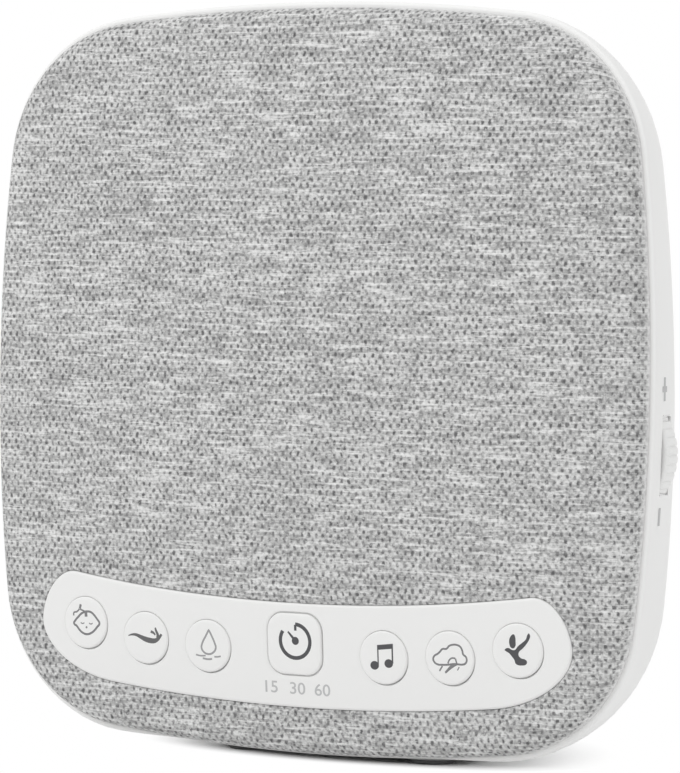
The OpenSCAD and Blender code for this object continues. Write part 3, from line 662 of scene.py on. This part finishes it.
def makeCloth():
    window = []
    for upper, number in ((True, cloth["top"]), (False, cloth["bottom"])):
        at = windowPath(upper)
        window += [at(t) for t in evenly(lambda t: rimAt(*at(t), 0), 0, 3, number)]
    low = atan2(*cloth["towards"])
    inward = lambda a: edgeAt(a, -edgeIn)
    headings = evenly(inward, -low, low, cloth["top"]) + evenly(inward, low, 2 * pi - low, cloth["bottom"])
    edgeR, rolled = face["edgeR"], list(cloth["hem"])
    for a in spread(0, pi / 2 - crownTilt, 12):
        rolled.append((edgeR * (cos(a) - 1), -edgeBase - edgeR * sin(a), edgeR * (pi / 2 - crownTilt - a)))
    loops, laid = [], []  # laid: each point, and its place on the flat cloth
    for grow, s, way in rolled:
        loop = []
        for a in headings:
            x, z = edgeAt(a, grow)
            loop.append(point(x, s, z))
            laid.append((loop[-1], tuple(p + (q - p) / edgeIn * way for p, q in zip(inward(a), edgeAt(a)))))
        loops.append(loop)
    fold = cloth["fold"]
    hem = cloth["windowGap"] + fold
    ends = list(zip([inward(a) for a in headings], [rimAt(*part, hem) for part in window]))
    flats = [[onCrown(x0 + (x1 - x0) * t, z0 + (z1 - z0) * t) for (x0, z0), (x1, z1) in ends]
             for t in spread(0, 1, cloth["rows"])[1:]]
    for a in (radians(turn) for turn in (25, 50, 70, 90)):  # folds in at the window's edge
        flats.append(rimRow(window, hem - fold * sin(a), fold * (1 - cos(a))))
    flats.append(rimRow(window, cloth["windowGap"], fold + cloth["tuck"]))
    laid += [(corner, (corner.x / mm, corner.z / mm - place["faceZ"])) for loop in flats for corner in loop]
    piece = skin(loops + flats, closed=False)
    if piece.data.polygons[len(piece.data.polygons) // 2].normal.y > 0:
        piece.data.flip_normals()
    flat = KDTree(len(laid))
    for index, (corner, _) in enumerate(laid):
        flat.insert(corner, index)
    flat.balance()
    threads = piece.data.uv_layers.new(name="threads")
    for corner in piece.data.loops:
        x, z = laid[flat.find(piece.data.vertices[corner.vertex_index].co)[1]][1]
        threads.data[corner.index].uv = (0.5 + x / cloth["mapped"], 0.5 + z / cloth["mapped"])
    applyModifier(
        piece, "SOLIDIFY", thickness=cloth["thick"] * mm, offset=-1, use_even_offset=True, use_rim=True)
    return settle(piece, "speakerCloth", 50)


speakerCloth = makeCloth()
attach(speakerCloth, "unit")
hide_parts("cloth_cover")
print("cloth made:", len(speakerCloth.data.polygons), "faces")


# control strip

strip = {
    "side": 14, "edge": 22, "endEdge": 8, "cap": 42,  # points along a cell's sides, and round the ends
    "cells": [-37.05, -24.15, -9.3, 9.3, 24.15, 37.05],  # where they meet
    "rows": 7, "inset": 0.6, "floor": -2.4, "ledge": 0.015,
    "soft": [(-0.6, 0), (-0.45, 0), (-0.26, 0.05), (-0.1, 0.16), (-0.03, 0.3), (0, 0.5)],  # growth and depth
    "hole": {"gap": 0.05, "soft": 0.15, "deep": 0.3, "wider": 0.19, "way": 300},  # round the round keys
    "timerHole": {"gap": 0.2, "soft": 0.25, "deep": 0.45, "wider": 0, "way": 300},
}
keyShape = {  # half widths, the timer key's corners, and how far each key lies off its even place
    "round": 4.64, "timer": 5.36, "corner": 3.15,
    "off": [
        (0.17, 0.29), (0.18, -0.24), (0.17, 0.03), (0.17, 0.06), (0.12, 0.05), (0.07, -0.21), (-0.06, 0.33)],
}
cellAngles = [None, *[asin(x / band["arcR"]) for x in strip["cells"]], None]


def cellRim(n):  # a cell's outer points: parts of the strip's edge, or across it
    a, b = cellAngles[n + 3:n + 5]
    run = lambda part, first, last, count: [(part, v) for v in spread(first, last, count)[:-1]]
    across = lambda angle, share: [("across", (angle, v)) for v in spread(share, -share, strip["side"])[:-1]]
    if a and b:
        rim = run("top", a, b, strip["edge"]) + across(b, 1)
        return rim + run("bottom", b, a, strip["edge"]) + across(a, -1)
    side, a = (1, a) if a else (-1, b)
    rim = run("top", a, side * topAngle, strip["endEdge"])
    rim += [("cap", (side, v)) for v in spread(0, pi, strip["cap"])[:-1]]
    return rim + run("bottom", side * lowAngle, a, 2) + across(a, -1)


def keyCentre(n):
    x, z = keyPlace(n)
    return (x + keyShape["off"][n + 3][0], z + keyShape["off"][n + 3][1])


def keyReach(n, a):  # how far a key's edge lies from its middle, in a heading
    if n != 0:
        return keyShape["round"]
    w, r = keyShape["timer"], keyShape["corner"]
    c, s = abs(cos(a)), abs(sin(a))
    t = w / max(c, s)
    if min(c, s) * t > w - r:
        d = (w - r) * (c + s)
        t = d + sqrt(d * d - 2 * (w - r) ** 2 + r * r)
    return t


def keyLoop(n, grow, headings):
    x, z = keyCentre(n)
    reaches = [keyReach(n, a) + grow for a in headings]
    return [(x + reach * cos(a), z + reach * sin(a)) for a, reach in zip(headings, reaches)]


def lift(p, down=0):  # onto the strip's face, or below it
    return onCrown(*p, down - band["proud"])


def sunk(p):  # onto the strip's back
    return point(p[0], strip["floor"], p[1])


def stripCell(n):  # the strip round one key's hole
    outer = [rimAt(*part, -strip["inset"]) for part in cellRim(n)]
    x, z = keyCentre(n)
    headings = [atan2(q - z, p - x) for p, q in outer]
    hole = strip["hole" if n else "timerHole"]
    gap, soft = hole["gap"], hole["soft"]
    swells = [hole["wider"] * max(0, cos(a - radians(hole["way"]))) ** 3 for a in headings]

    def around(grow):  # the hole is wider on the key's lower right
        return [(p + swell * cos(a), q + swell * sin(a))
                for (p, q), swell, a in zip(keyLoop(n, grow, headings), swells, headings)]

    rows = [[(p[0] + (q[0] - p[0]) * t, p[1] + (q[1] - p[1]) * t) for p, q in zip(outer, around(gap + soft))]
            for t in spread(0, 1, strip["rows"])]
    loops = [[lift(p) for p in row] for row in rows]
    for a in (radians(turn) for turn in (30, 60, 90)):
        loops.append([lift(p, soft * (1 - cos(a))) for p in around(gap + soft * (1 - sin(a)))])
    step = keyLoop(n, strip["ledge"], headings)  # a step in the hole, close round the key
    for rim in (around(gap), step):
        loops.append([lift(p, hole["deep"] + 2 * swell) for p, swell in zip(rim, swells)])
    loops += [[sunk(p) for p in row] for row in (step, rows[-1], rows[0])]
    return skin(loops, closed=False)


def stripEdge():  # the strip's whole edge, in the order of its outer cells
    uncut = lambda n: [part for part in cellRim(n) if part[0] != "across"]
    edge = [part for n in range(-2, 3) for part in cellRim(n)[:strip["edge"]]] + uncut(3)
    edge += [part for n in range(2, -3, -1) for part in cellRim(n) if part[0] == "bottom"]
    return edge + [("bottom", cellAngles[1])] + uncut(-3)[:0:-1]


def makeStrip():
    pieces = [stripCell(n) for n in range(-3, 4)]
    edge = stripEdge()
    loops = [rimRow(edge, grow, down - band["proud"]) for grow, down in strip["soft"]]
    loops += [[sunk(rimAt(*part, grow)) for part in edge] for grow in (0, -strip["inset"])]
    piece = joined(pieces + [skin(loops, closed=False)])
    tidy(piece, 0.02)
    return settle(piece, "stripBand", 40)


controlStrip = makeStrip()
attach(controlStrip, "unit")
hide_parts("control_strip")
print("strip made:", len(controlStrip.data.polygons), "faces")


# keys

keys = {
    "names": ["lullaby", "wind", "water", "timer", "music", "storm", "bird"],
    "proud": 0.65, "soft": 0.35, "flangeOut": 1.05, "flangeFront": -0.35, "flangeBack": 0.65, "points": 96,
}


def makeKey(n, name):
    headings = [2 * pi * step / keys["points"] for step in range(keys["points"])]
    out, front, rear = keys["flangeOut"], keys["flangeFront"], keys["flangeBack"]
    top = lambda grow, down: [onCrown(*p, down - keys["proud"]) for p in keyLoop(n, grow, headings)]
    loops = [
        [point(x, s, z) for x, z in keyLoop(n, grow, headings)] for grow, s in (
            (out - 0.15, rear), (out, rear - 0.15), (out, front + 0.1), (out - 0.1, front), (0, front))]
    loops.append(top(0, 0.9))
    for a in (radians(turn) for turn in (0, 22, 45, 67, 90)):
        loops.append(top(keys["soft"] * (cos(a) - 1), keys["soft"] * (1 - sin(a))))
    x, z = keyCentre(n)
    for size in (0.85, 0.65, 0.4, 0.15):
        loops.append([onCrown(x + (p - x) * size, z + (q - z) * size, -keys["proud"])
                      for p, q in keyLoop(n, -keys["soft"], headings)])
    return settle(skin(loops), name + "Cap", 35)


keyCaps = {}
for number, name in enumerate(keys["names"]):
    cap = makeKey(number - 3, name)
    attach(cap, name + "_button")
    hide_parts(name + "_key")
    keyCaps[name] = cap
print("keys made:", len(keyCaps))


# printed signs

ink = {"height": 0.02, "thin": 0.4, "thick": 0.68}


def drawn(points, closed, widths, **settings):  # a point with a third value is a corner
    curve = bpy.data.curves.new("sign", "CURVE")
    for key, value in settings.items():
        setattr(curve, key, value)
    spline = curve.splines.new("BEZIER")
    spline.bezier_points.add(len(points) - 1)
    for k, (knot, at) in enumerate(zip(spline.bezier_points, points)):
        knot.co = (*at[:2], 0)
        knot.handle_left_type = knot.handle_right_type = "AUTO" if len(at) < 3 else "VECTOR"
        knot.radius = widths[k] if widths else 1
    spline.use_cyclic_u, spline.resolution_u = closed, 8
    holder = bpy.data.objects.new("sign", curve)
    link(holder)
    choose([holder])
    bpy.ops.object.convert(target="MESH")
    piece = bpy.context.active_object
    top = max(abs(corner.co.z) for corner in piece.data.vertices)
    for corner in piece.data.vertices:  # makes it reach from one below to one above
        corner.co.z = corner.co.z / top
    return piece


def line(points, width=0.3, widths=None, closed=False):  # a stroke of round section, in millimetres
    return drawn(points, closed, widths, dimensions="3D", bevel_depth=width / 2, bevel_resolution=2,
                 use_fill_caps=True)


def area(points):  # a filled shape
    return drawn(points, True, None, dimensions="2D", fill_mode="BOTH", extrude=0.5)


def printed(pieces, name, centre, proud, body):  # lays flat signs onto the curved face
    piece = joined(pieces)
    for corner in piece.data.vertices:
        corner.co = onCrown(
            centre[0] + corner.co.x, centre[1] + corner.co.y, -proud - ink["height"] * corner.co.z)
    tidy(piece)
    settle(piece, name, 60)
    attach(piece, body)
    return piece


def ringArc(radius, low, high, count, centre):
    return [(centre[0] + radius * cos(radians(a)), centre[1] + radius * sin(radians(a)))
            for a in spread(low, high, count)]


def noteHead(x, z):
    return area([(x + 0.82 * cos(a) - 0.1 * sin(a), z + 0.74 * sin(a) + 0.12 * cos(a))
                 for a in spread(0, 2 * pi, 16)[:-1]])


signs = {
    "lullaby": [
        line([(0.6, 2.3), (1.5, 2.2), (2.2, 1.7), (2.8, 1.05), (3.3, 0.3), (2.75, -0.4), (2.25, -0.95),
              (1.5, -1.5), (0.5, -1.8), (-0.4, -1.6), (-1.1, -1.1), (-1.7, -0.45), (-2.3, 0), (-1.95, 0.6),
              (-1.35, 1.2), (-0.7, 1.8), (0, 2.15)], ink["thin"], closed=True),
        line([(0.35, 2.35), (0.4, 1.35)], 0.6),
        *[line([(x, 0.22), (x + 0.4, 0.08), (x + 0.8, 0.22)], 0.2) for x in (-0.8, 1)],
        area(ringArc(0.2, 0, 300, 5, (0.45, -0.55))),
        line([(-0.75, 3.5), (-0.95, 2.75)], 0.48),
        line([(-1.0, 2.7), (-1.6, 2.15), (-2.3, 1.9), (-2.35, 1.4)]),
        line([(-0.9, 2.62), (0.15, 2.28)]),
    ],
    "wind": [
        line([(-3.4, -0.05), (-2.6, 0.2), (-1.7, 0.2), (-0.8, -0.1), (0.2, -0.45), (1.2, -0.65), (2.1, -0.65),
              (2.8, -0.35), (3.2, 0.05), (3.65, 0.6)], 0.3,
             [0.5, 1.2, 1.8, 2.4, 3.1, 3.3, 2.9, 2.1, 1.8, 1.4]),
        line([(1.4, 0.95), (1.9, 0.8), (2.35, 0.4)], 0.3, [1.7, 1.5, 1.0]),
        line([(2.35, 1.7), (2.55, 1.1), (2.85, 0.4), (2.7, -0.1)], 0.3, [1.0, 1.5, 1.8, 1.4]),
    ],
    "water": [
        line([(0.6, 2.9, 1), (-0.1, 1.7), (-0.75, 0.6), (-1, -0.3), (-0.6, -1.05), (0.4, -1.4),
              (1.4, -1.05), (1.95, -0.2), (1.75, 0.6), (1.25, 1.7)], 0.36, closed=True),
        line([(-2.2, -1.65), (-1.2, -1.78), (-0.2, -1.7)]),
        line([(1.6, -1.8), (2.3, -1.78), (2.9, -1.65)]),
        line([(-0.8, -2.2), (0.2, -2.32), (1.1, -2.22)], 0.34),
    ],
    "timer": [
        line(ringArc(2.95, 88, -214.5, 30, (0.45, 0.6)), ink["thick"]),
        line([(0.55, 3.45), (0.55, 2.45)], 0.5),
        area(ringArc(0.7, 0, 340, 17, (0.5, 0.65))),
        line([(0.45, 0.7), (-0.95, 2.2)], 0.56, [1, 0.6]),
    ],
    "music": [
        area([(-0.98, 2.2, 1), (2.12, 2.6, 1), (2.12, 1.75, 1), (-0.98, 1.35, 1)]),
        line([(-0.85, 1.9), (-0.85, -1.2)], 0.26),
        line([(1.97, 2.2), (1.97, -0.8)]),
        noteHead(-1.55, -1.35),
        noteHead(1.22, -0.88),
    ],
    "storm": [
        line([(-2.3, -1.35), (-2.85, -0.95), (-3, -0.4), (-2.7, 0.1), (-2.1, 0.45), (-1.6, 0.9),
              (-1.2, 1.3), (-0.4, 1.4), (0.1, 1.9), (0.8, 2.15), (1.6, 2.15), (2.25, 1.85), (2.6, 1.2),
              (2.75, 0.6), (3.25, 0.2), (3.4, -0.4), (3.1, -0.95), (2.5, -1.15), (1.8, -1.15), (0.9, -1.15),
              (0, -1.3), (-1.2, -1.4)], 0.34, closed=True),
        line([(-0.2, -1.1), (0.1, -0.5), (0.6, -0.15), (1.25, -0.15)], 0.28),
        line([(1.25, -0.2), (1.5, -1.0)], 0.28),
        line([(1.6, -1.05), (0.6, -1.55), (-0.75, -2.75)], 0.5, [0.9, 1.2, 0.7]),
        line([(-1.25, -1.6), (-1.85, -2.5)], 0.28),
        line([(1.95, -1.6), (1.6, -2.2)], 0.2),
    ],
    "bird": [
        area([(-2.4, 0.35, 1), (-2.0, 0.68), (-1.5, 0.7), (-1.1, 0.48), (-0.5, 0.45), (0.1, 1.1), (0.9, 1.75),
              (1.6, 2.4), (1.85, 3.1), (2.15, 3.45, 1), (2.35, 3.0), (2.2, 2.4), (1.7, 1.6), (1.0, 0.8),
              (0.3, 0.15), (0.2, -0.4), (0.7, -0.9), (1.35, -1.05), (1.75, -1.45), (1.5, -1.95), (0.9, -2.1),
              (0.2, -2.1), (-0.35, -1.85), (-0.55, -1.3), (-1, -0.7), (-1.6, -0.1), (-2.1, 0.15)]),
        area([(-0.65, 3.1), (-1.2, 2.75), (-1.48, 2.1), (-1.45, 1.4), (-1.2, 0.85), (-0.75, 0.72),
              (-0.38, 1.1), (-0.32, 1.9), (-0.4, 2.7)]),
    ],
}
keySigns = {}
for number, name in enumerate(keys["names"]):
    keySigns[name] = printed(
        signs[name], name + "Sign", keyPlace(number - 3), keys["proud"], name + "_button")
print("signs made:", len(keySigns))

numerals = {
    "height": 2.1, "z": -53.3, "wide": 1.12, "bold": 0.02, "capital": 0.71,
    "at": [("15", -5.05), ("30", 0.4), ("60", 5.4)],
}


def figures(words, x):  # plain numerals under the timer key
    bpy.ops.object.text_add()
    text = bpy.context.active_object.data
    text.body, text.align_x, text.align_y = words, "CENTER", "CENTER"
    text.size, text.extrude, text.resolution_u = numerals["height"] / numerals["capital"], 0.5, 4
    text.offset = numerals["bold"]
    bpy.ops.object.convert(target="MESH")
    piece = bpy.context.active_object
    heights = [corner.co.y for corner in piece.data.vertices]
    middle = (min(heights) + max(heights)) / 2
    for corner in piece.data.vertices:
        corner.co = (
            x + corner.co.x * numerals["wide"], numerals["z"] + corner.co.y - middle, corner.co.z * 2)
    return piece


timerFigures = printed(
    [figures(*each) for each in numerals["at"]], "timerFigures", (0, 0), band["proud"], "unit")
marks = {  # depth and height of each middle; arms along the height, and across
    "plus": (3.75, 0.35), "minus": (3.55, -21.1), "reach": 2, "minusReach": 1.5, "across": 1.15, "width": 1,
}


def sideMark(arm, middle):  # one stroke of a plain sign on the side wall, beside the wheel
    piece = line([(-arm[0], -arm[1]), arm], marks["width"])
    for corner in piece.data.vertices:
        s, z = middle[0] + corner.co.x, middle[1] + corner.co.y
        corner.co = point(wallAt(s, z) + ink["height"] * corner.co.z, s, z)
    return piece


volumeMarks = joined([
    sideMark((marks["across"], 0), marks["plus"]), sideMark((0, marks["reach"]), marks["plus"]),
    sideMark((0, marks["minusReach"]), marks["minus"])])
tidy(volumeMarks)
settle(volumeMarks, "volumeMarks", 60)
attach(volumeMarks, "unit")
print("figures and marks made")


# volume wheel

wheel = {
    "x": 55.8, "z": -10.8, "r": 11, "front": 3.45, "thick": 4.25, "edge": 0.75,
    "ribs": 44, "steps": 8, "deep": 0.34,
    "dish": [(2, 0.25), (8.2, 0.25), (8.6, 0)],  # radius and depth in the front
    "hub": 4.5, "hubBack": 8.6, "bore": 2.52, "boreFront": 1.5, "soft": 0.2, "hubSoft": 0.3,
}


def ribRing(radius, s, ribbed=0):
    loop, steps = [], wheel["steps"]
    for k in range(wheel["ribs"] * steps):
        dip = wheel["deep"] * ribbed * max(0, cos(2 * pi * ((k % steps) / steps))) ** 2.5
        a, reach = 2 * pi * k / (wheel["ribs"] * steps), radius - dip
        loop.append(point(wheel["x"] + reach * cos(a), s, wheel["z"] + reach * sin(a)))
    return loop


def makeWheel():
    r, edge, hub, bore, soft = (wheel[key] for key in ("r", "edge", "hub", "bore", "soft"))
    front, rear, back = wheel["front"], wheel["front"] + wheel["thick"], wheel["hubBack"]
    arc = [radians(18 * k) for k in range(6)]  # round edge, the ribs growing along it
    arc = [(r - edge * (1 - sin(t)), edge * (1 - cos(t)), t / radians(90)) for t in arc]
    loops = [ribRing(radius, front + down) for radius, down in wheel["dish"]]
    loops += [ribRing(radius, front + depth, rib) for radius, depth, rib in arc]
    loops += [ribRing(radius, rear - depth, rib) for radius, depth, rib in reversed(arc)]
    loops += [ribRing(radius, s) for radius, s in (
        (hub + wheel["hubSoft"], rear), (hub, rear + wheel["hubSoft"]), (hub, back - soft),
        (hub - soft, back), (bore + soft, back), (bore, back - soft), (bore, front + wheel["boreFront"]))]
    return settle(skin(loops), "volumeWheel", 40)


volumeWheel = makeWheel()
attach(volumeWheel, "volume_dial")
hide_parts("volume_wheel")
print("wheel made:", len(volumeWheel.data.polygons), "faces")


# finishes

plastics = {
    # name: (colour, change of tone, grain, roughness, relief)
    "shell_white": ((0.885, 0.885, 0.877), 0.008, 6, 0.46, 0.1),
    "strip_white": ((0.845, 0.845, 0.837), 0.006, 8, 0.42, 0.06),
    "key_white": ((0.85, 0.85, 0.842), 0.006, 8, 0.4, 0.06),
    "wheel_white": ((0.86, 0.86, 0.852), 0.01, 6, 0.42, 0.1),
    "panel_dark": ((0.05, 0.05, 0.052), 0.06, 4, 0.6, 0.3),
    "chip_black": ((0.015, 0.015, 0.016), 0.1, 12, 0.5, 0.3),
    "switch_black": ((0.02, 0.02, 0.022), 0.1, 9, 0.45, 0.2),
    "socket_ivory": ((0.8, 0.76, 0.62), 0.02, 7, 0.45, 0.15),
    "shaft_plastic": ((0.6, 0.6, 0.57), 0.02, 7, 0.45, 0.15),
    "ribbon_grey": ((0.7, 0.7, 0.66), 0.03, 9, 0.4, 0.1),
    "basket_black": ((0.045, 0.045, 0.048), 0.08, 3, 0.38, 0.25),
    "lead_red": ((0.35, 0.02, 0.02), 0.04, 5, 0.45, 0.1),
}
metals = {
    # name: (colour, stretch of the lines, roughness)
    "screw_steel": ((0.6, 0.61, 0.62), (1.5, 9, 1.5), 0.3),
    "steel_plain": ((0.55, 0.55, 0.57), (0.6, 7, 0.6), 0.34),
    "can_aluminium": ((0.5, 0.52, 0.56), (0.5, 8, 0.5), 0.32),
    "coil_copper": ((0.6, 0.28, 0.12), (0.5, 6.5, 0.5), 0.3),
    "pin_nickel": ((0.7, 0.7, 0.7), (6, 1, 6), 0.16),
}
stuffs = {
    # name: (colour, colour of the specks, their scale, roughness, relief)
    "rubber_grey": ((0.17, 0.17, 0.172), (0.22, 0.22, 0.222), 5, 0.78, 0.25),
    "foam_black": ((0.02, 0.02, 0.02), (0.05, 0.05, 0.05), 3.5, 0.9, 0.6),
    "surround_black": ((0.03, 0.03, 0.032), (0.05, 0.05, 0.05), 6, 0.6, 0.15),
    "cone_black": ((0.035, 0.035, 0.035), (0.075, 0.072, 0.07), 1.6, 0.8, 0.4),
    "ferrite": ((0.02, 0.02, 0.022), (0.04, 0.04, 0.042), 4, 0.66, 0.3),
    "terminal_brown": ((0.3, 0.17, 0.09), (0.4, 0.25, 0.14), 3, 0.6, 0.2),
}
resins = {
    # name: (colour, roughness)
    "led_amber": ((0.85, 0.5, 0.14), 0.12),
    "guide_clear": ((0.85, 0.89, 0.93), 0.08),
}
inks = {
    "darkInk": (0.07, 0.07, 0.075), "warmInk": (0.12, 0.12, 0.122), "greyInk": (0.2, 0.2, 0.205),
    "softInk": (0.33, 0.33, 0.335), "paleInk": (0.5, 0.5, 0.505),
}
plastics.update({name: (color, 0.05, 10, 0.5, 0.05) for name, color in inks.items()})


def boardGreen(name):  # solder mask with tracks that show through
    finish = Finish(name, IOR=1.5, Coat_Weight=0.3, Coat_Roughness=0.2)
    x, y, z = finish.parts(finish.place())
    bend = finish.noise(finish.vector(x * 0.1, z * 0.1), 1.0, 1) * 6
    across, along = (finish.function("PINGPONG", way / 1.3) for way in (x + bend, z - bend))
    zone = finish.between(finish.noise(finish.vector(x, z), 0.09, 1), 0.49, 0.51)
    tracks = finish.between(across * zone + along * (1 - zone), 0.3, 0.34)
    return finish.look(
        finish.blend((0.02, 0.12, 0.05, 1), (0.04, 0.19, 0.085, 1), tracks), 0.34 + tracks * 0.06,
        tracks, 0.3, 0.03)


def spiderTan(name):  # open cloth dipped in resin
    finish = Finish(name, IOR=1.5)
    x, y, z = finish.parts(finish.place())
    ways = [finish.function("PINGPONG", way / 0.5) for way in (x, z)]
    threads = finish.between(finish.function("MAXIMUM", *ways), 0.2, 0.4)
    return finish.look(
        finish.blend((0.3, 0.2, 0.07, 1), (0.56, 0.4, 0.17, 1), threads), 0.5 + threads * 0.2,
        threads, 0.6, 0.05)


def labelFoil(name):  # a bare satin label with a fine frame line
    finish = Finish(name, IOR=1.48)
    x, y, z = finish.parts(finish.place())
    label = housing["label"]
    corner = label["corner"]
    far = [finish.function("ABSOLUTE", gap) - (side / 2 - corner) for gap, side in (
        (x, label["width"]), ((z - place["faceZ"] - label["z"]), label["height"]))]
    outside = [finish.function("MAXIMUM", way, 0) for way in far]
    outside = finish.function("POWER", outside[0] ** 2 + outside[1] ** 2, 0.5)
    inside = finish.function("MINIMUM", finish.function("MAXIMUM", *far), 0)
    edge = outside + inside - corner  # 0 at the edge, less towards the middle
    frameLine = finish.between(finish.function("ABSOLUTE", edge + 1.6), 0.22, 0.12)
    brush = finish.noise(finish.vector(x * 0.08, y, z * 5), 1.0, 3, 0.6)
    color = finish.blend(tone((0.6, 0.6, 0.59), 0.96), tone((0.6, 0.6, 0.59), 1.05), brush)
    return finish.look(
        finish.blend(color, (0.2, 0.2, 0.2, 1), frameLine * 0.75), 0.3 + brush * 0.1, brush, 0.1, 0.02)


weave = {
    "columns": 0.725, "rows": 1.08,  # from thread to thread, in millimetres
    "light": (0.67, 0.67, 0.665), "pale": (0.4, 0.4, 0.398),  # threads across
    "mid": (0.27, 0.27, 0.27), "dark": (0.085, 0.085, 0.087),  # threads up and down, where they lie on top
    "bright": (0.92, 0.92, 0.915), "deep": (0.09, 0.09, 0.092),  # single light and dark fibres; the light one also gives the painted highlight on the rolled edge
    "noises": {
        # name: (length across, length up and down, place, detail, roughness)
        "broad": (4, 1.1, 1.5, 3, 0.6), "streak": (5.5, 0.5, 4.5, 2, 0.5), "fibre": (1.6, 0.4, 6.5, 2, 0.6),
        "grit": (0.5, 0.4, 9.5, 1, 0.5), "lot": (1.2, 1.0, 12.5, 1, 0.5),
    },
    # the painted highlight on the rolled edge grows between these two depths from the seam
    "relief": 0.4, "paintedLightFrom": -2.1, "paintedLightTo": -0.4,
}


def clothWeave(name):  # plain weave: thick light threads across, thin dark ones up and down, and a painted highlight on the rolled edge
    finish = Finish(name, IOR=1.4, Sheen_Weight=0.1, Sheen_Roughness=0.5)
    u, v, w = finish.parts(finish.node("UVMap", {}, uv_map="threads"))
    x, z = (u - 0.5) * cloth["mapped"], (v - 0.5) * cloth["mapped"]
    wobble = finish.parts(finish.node(
        "TexNoise", {"Vector": finish.vector(x, z), "Scale": 0.8, "Detail": 3}, "Color"))
    column = (x + (wobble[0] - 0.5)) / weave["columns"]
    row = (z + (wobble[1] - 0.5)) / weave["rows"]
    waves = finish.function("SINE", column * pi) * finish.function("SINE", row * pi)
    under = finish.between(waves * -1, -0.1, 0.8)  # 1 where a thread that runs up and down shows
    broad, streak, fibre, grit, lot = (
        finish.noise(finish.vector(x / wide, z / high, seed), 1.0, detail, rough)
        for wide, high, seed, detail, rough in weave["noises"].values())
    color = finish.blend(
        tone(weave["pale"]), tone(weave["light"]), finish.between(broad * 0.5 + fibre * 0.5, 0.36, 0.62))
    upColor = finish.blend(tone(weave["dark"]), tone(weave["mid"]), finish.between(lot, 0.35, 0.65))
    color = finish.blend(color, upColor, under * 0.9)
    for shade, fibres, low, high, most in (
            ("bright", streak, 0.55, 0.68, 0.55), ("deep", streak, 0.45, 0.32, 0.3),
            ("bright", grit, 0.52, 0.78, 0.5), ("deep", grit, 0.48, 0.22, 0.5)):
        color = finish.blend(color, tone(weave[shade]), finish.between(fibres, low, high) * most)
    depth = finish.parts(finish.place())[1] - place["seamY"]
    rim = finish.between(depth, weave["paintedLightFrom"], weave["paintedLightTo"])  # painted highlight: the cloth is painted paler towards its rolled edge by the housing
    height = finish.function("ABSOLUTE", waves)
    # the rolled edge's painted highlight is blended into the colour here
    return finish.look(
        finish.blend(color, tone(weave["bright"], 0.9), rim * 0.75), 0.82 + fibre * 0.12,
        height + grit * 0.6, weave["relief"], 0.15)


finishes = {
    "board_green": boardGreen("board_green"), "spider_tan": spiderTan("spider_tan"),
    "label_grey": labelFoil("label_grey"), "cloth_grey": clothWeave("cloth_grey"),
}
for make, table in ((moulded, plastics), (brushed, metals), (speckled, stuffs), (clearResin, resins)):
    finishes.update({name: make(name, *look) for name, look in table.items()})


def wear(piece, finish):
    piece.data.materials.clear()
    piece.data.materials.append(finishes[finish])


for piece, finish in [
        (housingShell, "shell_white"), (speakerCloth, "cloth_grey"), (controlStrip, "strip_white"),
        (volumeWheel, "wheel_white"), (timerFigures, "paleInk"), (volumeMarks, "paleInk")]:
    wear(piece, finish)
signInks = {"water": "softInk", "lullaby": "greyInk", "wind": "warmInk", "storm": "greyInk"}
for name, cap in keyCaps.items():
    wear(cap, "key_white")
    wear(keySigns[name], signInks.get(name, "darkInk"))
for part in frame["record"]["subparts"]:
    for holder in nodes[part["node"]].material_slots:
        holder.material = finishes[part["material_slot"]]
print("finishes made:", len(finishes))
